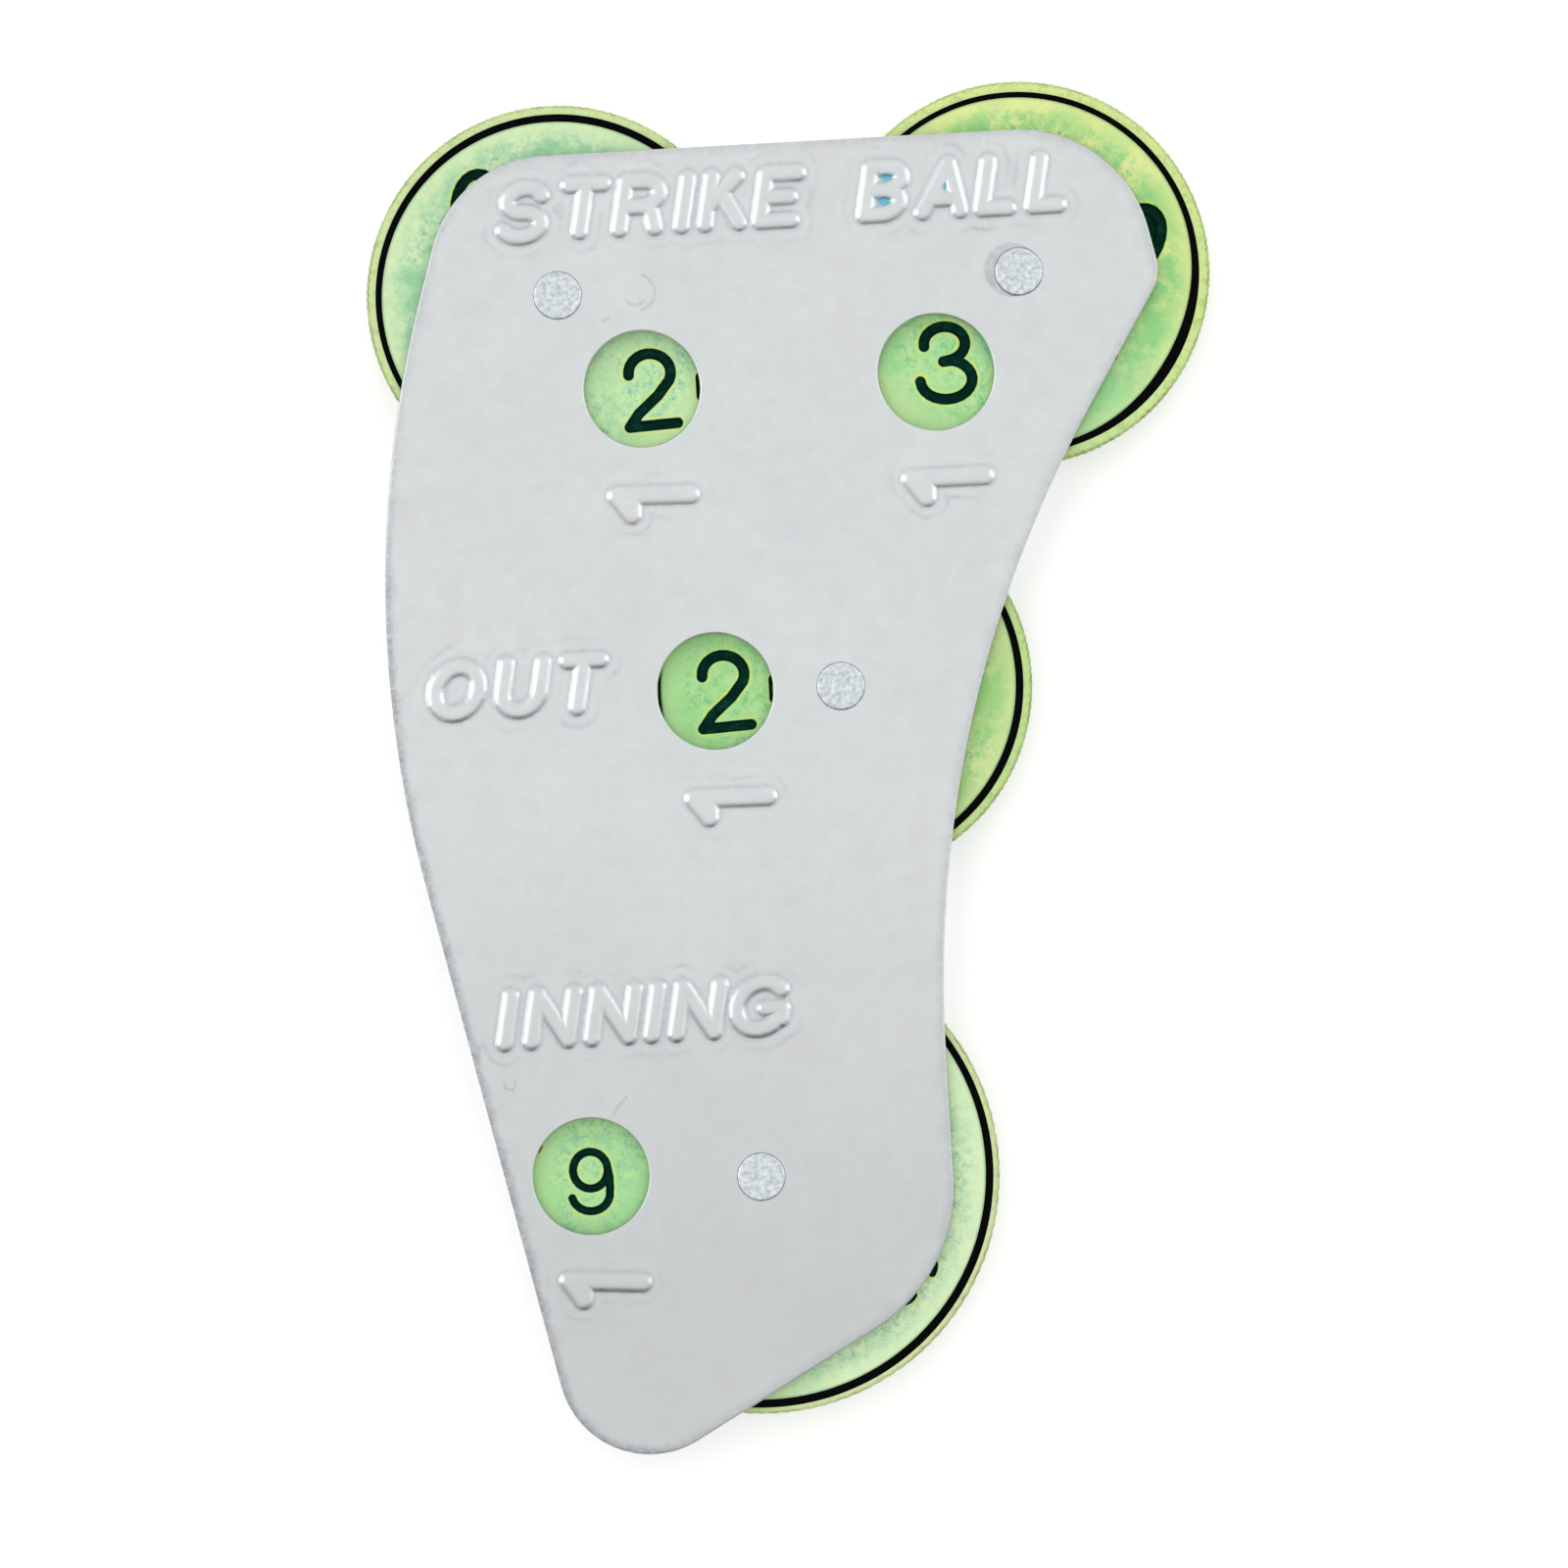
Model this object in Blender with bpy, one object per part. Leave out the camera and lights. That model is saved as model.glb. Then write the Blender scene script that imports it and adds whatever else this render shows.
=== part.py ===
"""Umpire indicator: two riveted metal plates with four numbered dials between them.

The indicator lies on its back. +Z points out of the front face, +Y points to the wide
end with the strike and ball dials, and the origin is under the middle of its outline.
"""
import math
from collections import namedtuple

import bmesh
import bpy
from mathutils import Vector

MM = 0.001

# Outline of the whole counter, dials included
OVERALL_LENGTH = 85.74 * MM
OVERALL_WIDTH = 53.58 * MM
TOP, BOTTOM = OVERALL_LENGTH / 2, -OVERALL_LENGTH / 2
RIGHT, LEFT = OVERALL_WIDTH / 2, -OVERALL_WIDTH / 2

# Plates
PLATE_THICKNESS = 0.9 * MM
PLATE_EDGE_BEVEL = 0.2 * MM
WINDOW_RADIUS = 3.67 * MM
DIAL_OVERHANG = 3.27 * MM
PLATE_TOP = TOP - DIAL_OVERHANG
# Corners of the plate's edge, anticlockwise from the lower tip: x, y, rounding radius
PLATE_CORNERS = (
    (-16.6 * MM, BOTTOM - 3.08 * MM, 5.8 * MM),
    (7.3 * MM, BOTTOM + 10.17 * MM, 10.5 * MM),
    (7.2 * MM, 3.3 * MM, 75.8 * MM),
    (RIGHT - 3.19 * MM, TOP - 13.02 * MM, 2.8 * MM),
    (RIGHT - 5.24 * MM, PLATE_TOP, 8.5 * MM),
    (LEFT + 6.09 * MM, PLATE_TOP, 7.7 * MM),
    (LEFT - 2.21 * MM, 12.6 * MM, 74.3 * MM),
)
ARC_TOLERANCE = 0.02 * MM

# Dials
SMALL_DIAL_RADIUS = 12.18 * MM
LARGE_DIAL_RADIUS = 15.15 * MM
DIAL_THICKNESS = 2.4 * MM
DIAL_GAP_BACK = 0.4 * MM
DIAL_GAP_FRONT = 0.3 * MM
DIAL_EDGE_BEVEL = 0.25 * MM
KNURL_PITCH = 1.0 * MM
KNURL_DEPTH = 0.12 * MM
SMALL_RING_INSET = 0.62 * MM
LARGE_RING_INSET = 0.45 * MM
RING_WIDTH = 0.35 * MM
RING_DEPTH = 0.15 * MM
RECESS_RADIUS = 4.4 * MM
RECESS_DEPTH = 0.6 * MM

# Clicks: a bump on the back plate and a pocket under each number
CLICK_REACH = 6.4 * MM
CLICK_CLEARANCE = 0.1 * MM
BUMP_RADIUS = 0.8 * MM
POCKET_MARGIN = 0.15 * MM
POCKET_DEPTH = 0.25 * MM
DIMPLE_RADIUS = 0.7 * MM
DIMPLE_DEPTH = 0.25 * MM

# Axles: a rivet through a spacer sleeve, and a wave washer round the sleeve
RIVET_RADIUS = 1.35 * MM
RIVET_END_RADIUS = 1.52 * MM
RIVET_END_PROUD = 0.15 * MM
RIVET_HEAD_RADIUS = 2.3 * MM
RIVET_HOLE_LAND = 0.2 * MM
RIVET_FIT = 0.06 * MM
SLEEVE_FIT = 0.1 * MM
SLEEVE_WALL = 0.75 * MM
SLEEVE_END_GAP = 0.05 * MM
RUNNING_CLEARANCE = 0.08 * MM
WASHER_THICKNESS = 0.2 * MM
WASHER_SIDE_GAP = 0.2 * MM
WASHER_FACE_GAP = 0.05 * MM
WASHER_WAVES = 3

# Points round each circle
DIAL_POINTS = 48
WINDOW_POINTS = 48
AXLE_POINTS = 30
CLICK_POINTS = 12

# Heights above the back plate's outer face
BACK_INNER = PLATE_THICKNESS
DIAL_BOTTOM = BACK_INNER + DIAL_GAP_BACK
DIAL_TOP = DIAL_BOTTOM + DIAL_THICKNESS
FRONT_INNER = DIAL_TOP + DIAL_GAP_FRONT
FRONT_OUTER = FRONT_INNER + PLATE_THICKNESS

# Radii that follow from a fit
HOLE_RADIUS = RIVET_RADIUS + RIVET_FIT
SLEEVE_INNER_RADIUS = RIVET_RADIUS + SLEEVE_FIT
SLEEVE_OUTER_RADIUS = SLEEVE_INNER_RADIUS + SLEEVE_WALL
DIAL_BORE_RADIUS = SLEEVE_OUTER_RADIUS + RUNNING_CLEARANCE

# Where the dials' axles stand
BALL_AXLE_DROP = 0.11 * MM
INNING_AXLE_RISE = 17.17 * MM
STRIKE_AXLE = (LEFT + SMALL_DIAL_RADIUS, TOP - SMALL_DIAL_RADIUS)
BALL_AXLE = (RIGHT - SMALL_DIAL_RADIUS, TOP - SMALL_DIAL_RADIUS - BALL_AXLE_DROP)
OUT_AXLE = (1.91 * MM, 5.02 * MM)
INNING_AXLE = (-4.85 * MM, BOTTOM + INNING_AXLE_RISE)

# How far each window's centre is from its axle
SMALL_WINDOW_REACH = 7.96 * MM
BALL_WINDOW_REACH = 8.24 * MM
LARGE_WINDOW_REACH = 10.77 * MM

# One counter: its axle, its dial's radius and ring inset, the distance and direction of
# its window from the axle, and how many numbers the dial carries
Counter = namedtuple("Counter", "name axle radius ring_inset reach direction numbers")
COUNTERS = (
    Counter("strike", STRIKE_AXLE, SMALL_DIAL_RADIUS, SMALL_RING_INSET, SMALL_WINDOW_REACH, -51.1, 4),
    Counter("ball", BALL_AXLE, SMALL_DIAL_RADIUS, SMALL_RING_INSET, BALL_WINDOW_REACH, -132.7, 5),
    Counter("out", OUT_AXLE, SMALL_DIAL_RADIUS, SMALL_RING_INSET, SMALL_WINDOW_REACH, 179.1, 3),
    Counter("inning", INNING_AXLE, LARGE_DIAL_RADIUS, LARGE_RING_INSET, LARGE_WINDOW_REACH, 176.7, 10),
)


def clear_scene():
    for obj in list(bpy.data.objects):
        bpy.data.objects.remove(obj, do_unlink=True)


def make_material(name, colour, roughness, metallic):
    material = bpy.data.materials.new(name)
    material.use_nodes = True
    shader = material.node_tree.nodes["Principled BSDF"]
    shader.inputs["Base Color"].default_value = (*colour, 1.0)
    shader.inputs["Roughness"].default_value = roughness
    shader.inputs["Metallic"].default_value = metallic
    return material


def add_empty(name, location, parent=None):
    empty = bpy.data.objects.new(name, None)
    empty.location = location
    empty.parent = parent
    bpy.context.collection.objects.link(empty)
    return empty


def finish_mesh(bm, name):
    """Turn a bmesh into a mesh with its faces pointing out and its round sides smooth."""
    bmesh.ops.recalc_face_normals(bm, faces=bm.faces)
    mesh = bpy.data.meshes.new(name)
    bm.to_mesh(mesh)
    bm.free()
    mesh.shade_smooth()
    mesh.set_sharp_from_angle(angle=math.radians(35))
    return mesh


def add_object(name, mesh, material, parent, height=0.0):
    obj = bpy.data.objects.new(name, mesh)
    if not mesh.materials:
        mesh.materials.append(material)
    obj.location = (0.0, 0.0, height)
    obj.parent = parent
    bpy.context.collection.objects.link(obj)
    return obj


def along(x, y, reach, degrees):
    """Point at a distance and direction from another one."""
    angle = math.radians(degrees)
    return x + reach * math.cos(angle), y + reach * math.sin(angle)


def circle(radius, count, centre=(0.0, 0.0)):
    return [along(*centre, radius, 360 * i / count) for i in range(count)]


def add_loop(bm, points, height):
    return [bm.verts.new((x, y, height)) for x, y in points]


def bridge(bm, loop_a, loop_b):
    """Wall of quads between two loops with the same number of points."""
    for i, vert in enumerate(loop_a):
        bm.faces.new((loop_a[i - 1], vert, loop_b[i], loop_b[i - 1]))


def close_flat(bm, *loops):
    """Flat face inside the first loop, with the other loops as its holes."""
    edges = []
    for loop in loops:
        for i, vert in enumerate(loop):
            pair = (loop[i - 1], vert)
            edges.append(bm.edges.get(pair) or bm.edges.new(pair))
    bmesh.ops.triangle_fill(bm, use_beauty=True, use_dissolve=False, edges=edges)


def close_to_point(bm, loop, point):
    tip = bm.verts.new(point)
    for i, vert in enumerate(loop):
        bm.faces.new((loop[i - 1], vert, tip))


def add_turned_wall(bm, profile, count, centre=(0.0, 0.0)):
    """Turn a profile of (radius, height) points; returns its first and last loops."""
    loops = [add_loop(bm, circle(r, count, centre), z) for r, z in profile]
    for loop_a, loop_b in zip(loops, loops[1:]):
        bridge(bm, loop_a, loop_b)
    return loops[0], loops[-1]


def add_dome(bm, centre, radius, base, rise):
    """Shallow dome or hollow on a flat face; returns the loop where it meets the face."""
    shoulder = (0.6 * radius, base + 0.75 * rise)
    rim, ring = add_turned_wall(bm, [(radius, base), shoulder], CLICK_POINTS, centre)
    close_to_point(bm, ring, (*centre, base + rise))
    return rim


def corner_arc(before, corner, after, radius, inset):
    """Arc that rounds one corner of the outline, moved inwards by inset."""
    before, corner, after = Vector(before), Vector(corner), Vector(after)
    back = (before - corner).normalized()
    ahead = (after - corner).normalized()
    half = back.angle(ahead) / 2
    centre = corner + (back + ahead).normalized() * radius / math.sin(half)
    start = corner + back * radius / math.tan(half) - centre
    end = corner + ahead * radius / math.tan(half) - centre
    first = math.atan2(start.y, start.x)
    sweep = math.remainder(math.atan2(end.y, end.x) - first, math.tau)
    reach = radius - inset if sweep > 0 else radius + inset
    chord_angle = 2 * math.acos(1 - ARC_TOLERANCE / radius)
    steps = math.ceil(abs(sweep) / chord_angle)
    angles = [first + sweep * i / steps for i in range(steps + 1)]
    return [(centre.x + reach * math.cos(a), centre.y + reach * math.sin(a)) for a in angles]


def plate_outline(inset):
    points = []
    count = len(PLATE_CORNERS)
    for i, (x, y, radius) in enumerate(PLATE_CORNERS):
        before = PLATE_CORNERS[i - 1][:2]
        after = PLATE_CORNERS[(i + 1) % count][:2]
        points += corner_arc(before, (x, y), after, radius, inset)
    return points


def add_plate_wall(bm, inner, outer):
    """Edge of a plate, bevelled towards its outer face; returns the two end loops."""
    bevel = PLATE_EDGE_BEVEL if outer > inner else -PLATE_EDGE_BEVEL
    inner_loop = add_loop(bm, plate_outline(0.0), inner)
    side_loop = add_loop(bm, plate_outline(0.0), outer - bevel)
    outer_loop = add_loop(bm, plate_outline(PLATE_EDGE_BEVEL), outer)
    bridge(bm, inner_loop, side_loop)
    bridge(bm, side_loop, outer_loop)
    return inner_loop, outer_loop


def front_plate_mesh():
    """Plate with a window for each number and a flared hole for each rivet's end."""
    bm = bmesh.new()
    inner_loop, outer_loop = add_plate_wall(bm, FRONT_INNER, FRONT_OUTER)
    inner_loops, outer_loops = [inner_loop], [outer_loop]
    window = [
        (WINDOW_RADIUS, FRONT_INNER),
        (WINDOW_RADIUS, FRONT_OUTER - PLATE_EDGE_BEVEL),
        (WINDOW_RADIUS + PLATE_EDGE_BEVEL / 2, FRONT_OUTER),
    ]
    rivet_hole = [(HOLE_RADIUS, FRONT_INNER), (RIVET_END_RADIUS + RIVET_FIT, FRONT_OUTER)]
    for counter in COUNTERS:
        centre = along(*counter.axle, counter.reach, counter.direction)
        window_ends = add_turned_wall(bm, window, WINDOW_POINTS, centre)
        hole_ends = add_turned_wall(bm, rivet_hole, AXLE_POINTS, counter.axle)
        inner_loops += [window_ends[0], hole_ends[0]]
        outer_loops += [window_ends[1], hole_ends[1]]
    close_flat(bm, *inner_loops)
    close_flat(bm, *outer_loops)
    return finish_mesh(bm, "front_plate")


def back_plate_mesh():
    """Plate with countersunk rivet holes and a pressed bump that clicks each dial."""
    bm = bmesh.new()
    inner_loop, outer_loop = add_plate_wall(bm, BACK_INNER, 0.0)
    inner_loops, outer_loops = [inner_loop], [outer_loop]
    rivet_hole = [
        (HOLE_RADIUS, BACK_INNER),
        (HOLE_RADIUS, BACK_INNER - RIVET_HOLE_LAND),
        (RIVET_HEAD_RADIUS + RIVET_FIT, 0.0),
    ]
    bump_rise = DIAL_GAP_BACK - CLICK_CLEARANCE
    for counter in COUNTERS:
        hole_ends = add_turned_wall(bm, rivet_hole, AXLE_POINTS, counter.axle)
        bump_centre = along(*counter.axle, CLICK_REACH, counter.direction)
        bump_loop = add_dome(bm, bump_centre, BUMP_RADIUS, BACK_INNER, bump_rise)
        dimple_loop = add_dome(bm, bump_centre, DIMPLE_RADIUS, 0.0, DIMPLE_DEPTH)
        inner_loops += [hole_ends[0], bump_loop]
        outer_loops += [hole_ends[1], dimple_loop]
    close_flat(bm, *inner_loops)
    close_flat(bm, *outer_loops)
    return finish_mesh(bm, "back_plate")


def knurl_outline(radius, numbers):
    """Low ridges round the rim, the same number of them between every two numbers."""
    ridges = numbers * round(math.tau * radius / KNURL_PITCH / numbers)
    crests = circle(radius, 2 * ridges)
    valleys = circle(radius - KNURL_DEPTH, 2 * ridges)
    return [crests[i] if i % 2 == 0 else valleys[i] for i in range(2 * ridges)]


def dial_mesh(counter):
    """Numbered disc round its own axis; its first number lies on the local +X axis."""
    bm = bmesh.new()
    radius = counter.radius
    top = DIAL_THICKNESS
    ring_outer = radius - counter.ring_inset
    face_profile = [
        (ring_outer, top),
        (ring_outer, top - RING_DEPTH),
        (ring_outer - RING_WIDTH, top - RING_DEPTH),
        (ring_outer - RING_WIDTH, top),
        (RECESS_RADIUS, top),
        (RECESS_RADIUS, top - RECESS_DEPTH),
        (DIAL_BORE_RADIUS, top - RECESS_DEPTH),
        (DIAL_BORE_RADIUS, 0.0),
    ]
    ring_loop, bore_loop = add_turned_wall(bm, face_profile, DIAL_POINTS)
    rim = knurl_outline(radius, counter.numbers)
    bevelled_rim = circle(radius - DIAL_EDGE_BEVEL, len(rim))
    rim_loops = [
        add_loop(bm, bevelled_rim, 0.0),
        add_loop(bm, rim, DIAL_EDGE_BEVEL),
        add_loop(bm, rim, top - DIAL_EDGE_BEVEL),
        add_loop(bm, bevelled_rim, top),
    ]
    for loop_a, loop_b in zip(rim_loops, rim_loops[1:]):
        bridge(bm, loop_a, loop_b)
    pocket_radius = BUMP_RADIUS + POCKET_MARGIN
    pockets = [
        add_dome(bm, centre, pocket_radius, 0.0, POCKET_DEPTH)
        for centre in circle(CLICK_REACH, counter.numbers)
    ]
    close_flat(bm, rim_loops[-1], ring_loop)
    close_flat(bm, rim_loops[0], bore_loop, *pockets)
    return finish_mesh(bm, counter.name + "_dial")


def rivet_mesh():
    """Countersunk head, straight shank and flared end, round the local Z axis."""
    bm = bmesh.new()
    profile = [
        (RIVET_HEAD_RADIUS, 0.0),
        (RIVET_RADIUS, BACK_INNER - RIVET_HOLE_LAND),
        (RIVET_RADIUS, FRONT_INNER),
        (RIVET_END_RADIUS, FRONT_OUTER),
        (RIVET_END_RADIUS - RIVET_END_PROUD, FRONT_OUTER + RIVET_END_PROUD),
    ]
    head_loop, end_loop = add_turned_wall(bm, profile, AXLE_POINTS)
    close_flat(bm, head_loop)
    close_flat(bm, end_loop)
    return finish_mesh(bm, "rivet")


def sleeve_mesh():
    """Tube that keeps the plates apart; the dial turns on it."""
    bm = bmesh.new()
    length = FRONT_INNER - BACK_INNER - 2 * SLEEVE_END_GAP
    profile = [
        (SLEEVE_INNER_RADIUS, 0.0),
        (SLEEVE_OUTER_RADIUS, 0.0),
        (SLEEVE_OUTER_RADIUS, length),
        (SLEEVE_INNER_RADIUS, length),
    ]
    first, last = add_turned_wall(bm, profile, AXLE_POINTS)
    bridge(bm, last, first)
    return finish_mesh(bm, "spacer_sleeve")


def washer_mesh():
    """Springy ring with waves, pressed between the dial's recess and the front plate."""
    bm = bmesh.new()
    inner = SLEEVE_OUTER_RADIUS + WASHER_SIDE_GAP
    outer = RECESS_RADIUS - WASHER_SIDE_GAP
    space = RECESS_DEPTH + DIAL_GAP_FRONT
    wave_height = (space - WASHER_THICKNESS) / 2 - WASHER_FACE_GAP
    sections = []
    for i in range(AXLE_POINTS):
        lift = wave_height * math.sin(math.tau * WASHER_WAVES * i / AXLE_POINTS)
        low, high = lift - WASHER_THICKNESS / 2, lift + WASHER_THICKNESS / 2
        corners = ((inner, low), (outer, low), (outer, high), (inner, high))
        direction = 360 * i / AXLE_POINTS
        section = [bm.verts.new((*along(0.0, 0.0, r, direction), z)) for r, z in corners]
        sections.append(section)
    for i, section in enumerate(sections):
        bridge(bm, sections[i - 1], section)
    return finish_mesh(bm, "wave_washer")


def main():
    clear_scene()
    aluminium = make_material("plate_aluminium", (0.64, 0.67, 0.68), 0.42, 0.9)
    rivet_metal = make_material("rivet_aluminium", (0.72, 0.76, 0.78), 0.38, 0.9)
    dial_plastic = make_material("dial_plastic", (0.48, 0.72, 0.37), 0.45, 0.0)
    sleeve_metal = make_material("sleeve_steel", (0.52, 0.53, 0.54), 0.35, 1.0)
    spring_steel = make_material("spring_steel", (0.38, 0.39, 0.41), 0.3, 1.0)

    indicator = add_empty("indicator", (0.0, 0.0, 0.0))
    add_object("front_plate", front_plate_mesh(), aluminium, indicator)
    add_object("back_plate", back_plate_mesh(), aluminium, indicator)

    rivet = rivet_mesh()
    sleeve = sleeve_mesh()
    washer = washer_mesh()
    sleeve_height = BACK_INNER + SLEEVE_END_GAP
    washer_height = (DIAL_TOP - RECESS_DEPTH + FRONT_INNER) / 2
    for counter in COUNTERS:
        name = counter.name
        axle = add_empty(name + "_axle", (*counter.axle, 0.0), indicator)
        dial = add_object(name + "_dial", dial_mesh(counter), dial_plastic, axle, DIAL_BOTTOM)
        dial.rotation_euler.z = math.radians(counter.direction)
        add_object(name + "_rivet", rivet, rivet_metal, axle)
        add_object(name + "_spacer_sleeve", sleeve, sleeve_metal, axle, sleeve_height)
        add_object(name + "_wave_washer", washer, spring_steel, axle, washer_height)


main()
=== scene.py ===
"""Looks of the umpire indicator: stamped metal plates, numbered dials, rivets, light and camera.

Lengths are in millimetres, in the model's own frame, until a mesh or a lamp is written.
"""
import math
from collections import namedtuple

import bmesh
import bpy
import numpy as np
from mathutils import Matrix, Vector, geometry, noise


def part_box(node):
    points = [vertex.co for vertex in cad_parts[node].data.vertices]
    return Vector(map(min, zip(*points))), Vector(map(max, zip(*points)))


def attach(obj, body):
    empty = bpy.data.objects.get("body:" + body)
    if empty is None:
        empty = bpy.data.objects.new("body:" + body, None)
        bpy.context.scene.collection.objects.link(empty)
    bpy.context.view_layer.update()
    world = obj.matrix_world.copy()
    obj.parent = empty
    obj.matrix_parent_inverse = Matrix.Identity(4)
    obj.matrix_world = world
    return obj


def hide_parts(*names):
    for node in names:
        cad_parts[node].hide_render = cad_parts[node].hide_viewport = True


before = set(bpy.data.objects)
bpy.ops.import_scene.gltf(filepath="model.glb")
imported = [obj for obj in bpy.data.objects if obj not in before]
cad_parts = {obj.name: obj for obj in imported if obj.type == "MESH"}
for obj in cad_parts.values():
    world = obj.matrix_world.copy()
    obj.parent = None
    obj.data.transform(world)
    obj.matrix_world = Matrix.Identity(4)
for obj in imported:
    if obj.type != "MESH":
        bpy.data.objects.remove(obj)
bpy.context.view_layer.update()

MM = 0.001

# Heights and plate thickness, from the model
plate_low, plate_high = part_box("front_plate")
FRONT_INNER, FRONT_OUTER = plate_low.z / MM, plate_high.z / MM
PLATE_THICKNESS = FRONT_OUTER - FRONT_INNER
BACK_INNER = PLATE_THICKNESS

# Corners of the plates' edge, anticlockwise from the lower tip: x, y, rounding radius
PLATE_CORNERS = (
    (-16.6, -45.95, 5.8),
    (7.3, -32.7, 10.5),
    (7.2, 3.3, 75.8),
    (23.6, 29.85, 2.8),
    (21.55, 39.6, 8.5),
    (-20.7, 39.6, 7.7),
    (-29.0, 12.6, 74.3),
)
ARC_TOLERANCE = 0.002
OUTLINE_STEP = 0.45
EDGE_ROUND = 0.14
EDGE_ROLL = 0.07
EDGE_ROLL_WIDTH = 0.7
EDGE_INSETS = (0.0, 0.01, 0.03, 0.06, 0.1, 0.14, 0.22, 0.34, 0.5, 0.7)
HOLE_INSETS = (0.0, 0.01, 0.03, 0.06, 0.1, 0.14, 0.22, 0.34)
PLATE_GRID = 1.1

# Windows and rivet holes
WINDOW_RADIUS = 3.67
WINDOW_POINTS = 120
RIVET_POINTS = 72
RIVET_RADIUS = 1.35
RIVET_END_RADIUS = 1.5
RIVET_END_PROUD = 0.15
RIVET_END_DISH = 0.05
RIVET_HEAD_RADIUS = 2.3
RIVET_FIT = 0.06
RIVET_END_FIT = 0.01
RIVET_HOLE_LAND = 0.2
RIVET_HOLE_ROUND = 0.25
RIVET_END_GRID = 0.06
RIVET_HEAD_GRID = 0.2

# Hammer marks on a rivet's end and unevenness of its head: height, and how close together
HAMMER_MARKS = (0.03, 2.6)
HAMMER_PITS = (0.016, 6.5)
HEAD_MARKS = (0.006, 2.4)
HEAD_LIFT = 0.008

# Shallow dish round the ball counter's rivet, from that rivet's centre
DISH_SHIFT = (-0.5, 0.15)
DISH_RADIUS = 1.75
DISH_EDGE = 0.12
DISH_DEPTH = 0.05
# Painted shade that darkens the dish
DISH_SHADE = 0.5
DISH_GRID = 0.14

# Raised words and marks: a rounded ridge on a faint, wider swelling of the sheet
RIDGE_HEIGHT = 0.31
RIDGE_FILLET = 1.12
WORD_FOOT = 0.62
MARK_FOOT = 0.69
# Painted shade: a grey line along each ridge's foot, where it meets the sheet
FOOT_SHADE = 0.4
FOOT_LINE = 0.2
HALO_HEIGHT = 0.035
HALO_REACH = 1.2
HALO_WAVE = 0.3
HALO_FALL = 0.22
HALO_END = 1.75
# Painted shade: a patchy grey line along the swelling's edge, and how wide it is
HALO_SHADE = 0.5
HALO_LINE = 0.24
RIDGE_GRID = 0.075
HALO_GRID = 0.17
CAP_HEIGHT = 2.95
WORD_SLANT = 0.2
MARK_STEM = (4.64, 0.0)
MARK_FLAG = (0.92, -1.2)
MARK_WEB = (0.95, 0.0)

# Scrapes of use on the front plate: each a line of points pressed in or scratched
SCRAPE_DEPTH = 0.045
# Painted shade that darkens the scrapes' dents
SCRAPE_SHADE = 0.5
SCRAPE_REACH = 0.16
SCRAPE_GRID = 0.08

# Grey along the front plate's edge, wear all round and painted shade at the lower left: how far in it
# reaches, the wear's share all round, and where the painted shade is strongest, at the left and below
WEAR_AND_SHADE_REACH = 0.75
WEAR_SHARE = 0.4
SHADE_LEFT = (-8.0, -14.0)
SHADE_BELOW = (22.0, 8.0)

# Dials
DIAL_EDGE_BEVEL = 0.25
KNURL_DEPTH = 0.05
KNURL_POINTS = 6
RING_DEPTH = 0.15
RING_FADE = 4.0
RING_RUN_SHARPNESS = 8
GAP_PUSH = 0.8
RECESS_RADIUS = 4.26
RECESS_DEPTH = 0.6
BORE_RADIUS = 2.28
HUB_POINTS = 96
CLICK_REACH = 6.4
POCKET_RADIUS = 0.95
POCKET_DEPTH = 0.25
POCKET_POINTS = 20
DIMPLE_RADIUS = 0.85
DIMPLE_DEPTH = 0.25
DIMPLE_POINTS = 24
INK_DEPTH = 0.22
INK_SLOPE = 0.14
INK_GRID = 0.08
INK_MARGIN = 0.3

# What a point of a piece carries for its material: distance to ink, grime and painted shade, tint or blue
# fleck
PLAIN = (1.0, 0.0, 0.0)
SHARP_ANGLE = 40

# One counter: its window's reach and direction from the axle, how many numbers it has, the
# number that shows, where that number lies in the window, its size, its stroke's width, its
# ring, the knurl's pitch, numbers that were pressed beside their place, and short dark ticks of painted
# shade at the window's edge
Counter = namedtuple(
    "Counter", "name reach direction numbers shown offset digit stroke ring knurl moved ticks"
)
# A dial's black ring: distance from the rim, width, how much wider its thick side is, that
# side's direction, half the gap that it leaves, in degrees, across the number that shows, and
# how far the paint has run inwards at the middle of its thick side
Ring = namedtuple("Ring", "inset width uneven thick_side gap run")
SMALL_DIGIT = (3.05, 4.62)
LARGE_DIGIT = (2.3, 3.78)
COUNTERS = (
    Counter(
        "strike", 7.96, -51.1, 4, 2, (0.61, -0.03), SMALL_DIGIT, 0.7,
        Ring(0.58, 0.41, 0.08, 85, 17, 0.0), 0.5,
        {0: (-0.94, 0.47)}, [[(-5.85, 23.9), (-5.85, 25.1)]],
    ),
    Counter(
        "ball", 8.24, -132.7, 5, 3, (0.79, 0.61), SMALL_DIGIT, 0.7,
        Ring(0.68, 0.38, 0.03, -32, 20, 0.25), 0.5,
        {0: (-0.28, -0.2), 1: (0.35, 0.4), 4: (0.6, 0.65)}, [],
    ),
    Counter(
        "out", 7.96, 179.1, 3, 2, (0.64, -0.05), SMALL_DIGIT, 0.7,
        Ring(0.58, 0.33, 0.17, -22, 0, 0.0), 0.5,
        {}, [[(-2.3, 4.5), (-2.3, 5.7)]],
    ),
    Counter(
        "inning", 10.77, 176.7, 10, 9, (-0.02, -0.39), LARGE_DIGIT, 0.53,
        Ring(0.42, 0.45, 0.08, -60, 12, 0.0), 0.8,
        {2: (0.3, 0.0), 3: (-0.35, 0.0), 4: (0.3, 0.0)}, [[(-18.87, -23.03), (-19.01, -23.27)]],
    ),
)


def arc(x, y, across, up, first, last):
    """Points along part of an ellipse, from one angle in degrees to another."""
    steps = math.ceil(abs(last - first) / 15)
    angles = np.radians(np.linspace(first, last, steps + 1))
    return [(x + across * math.cos(a), y + up * math.sin(a)) for a in angles]


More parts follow.
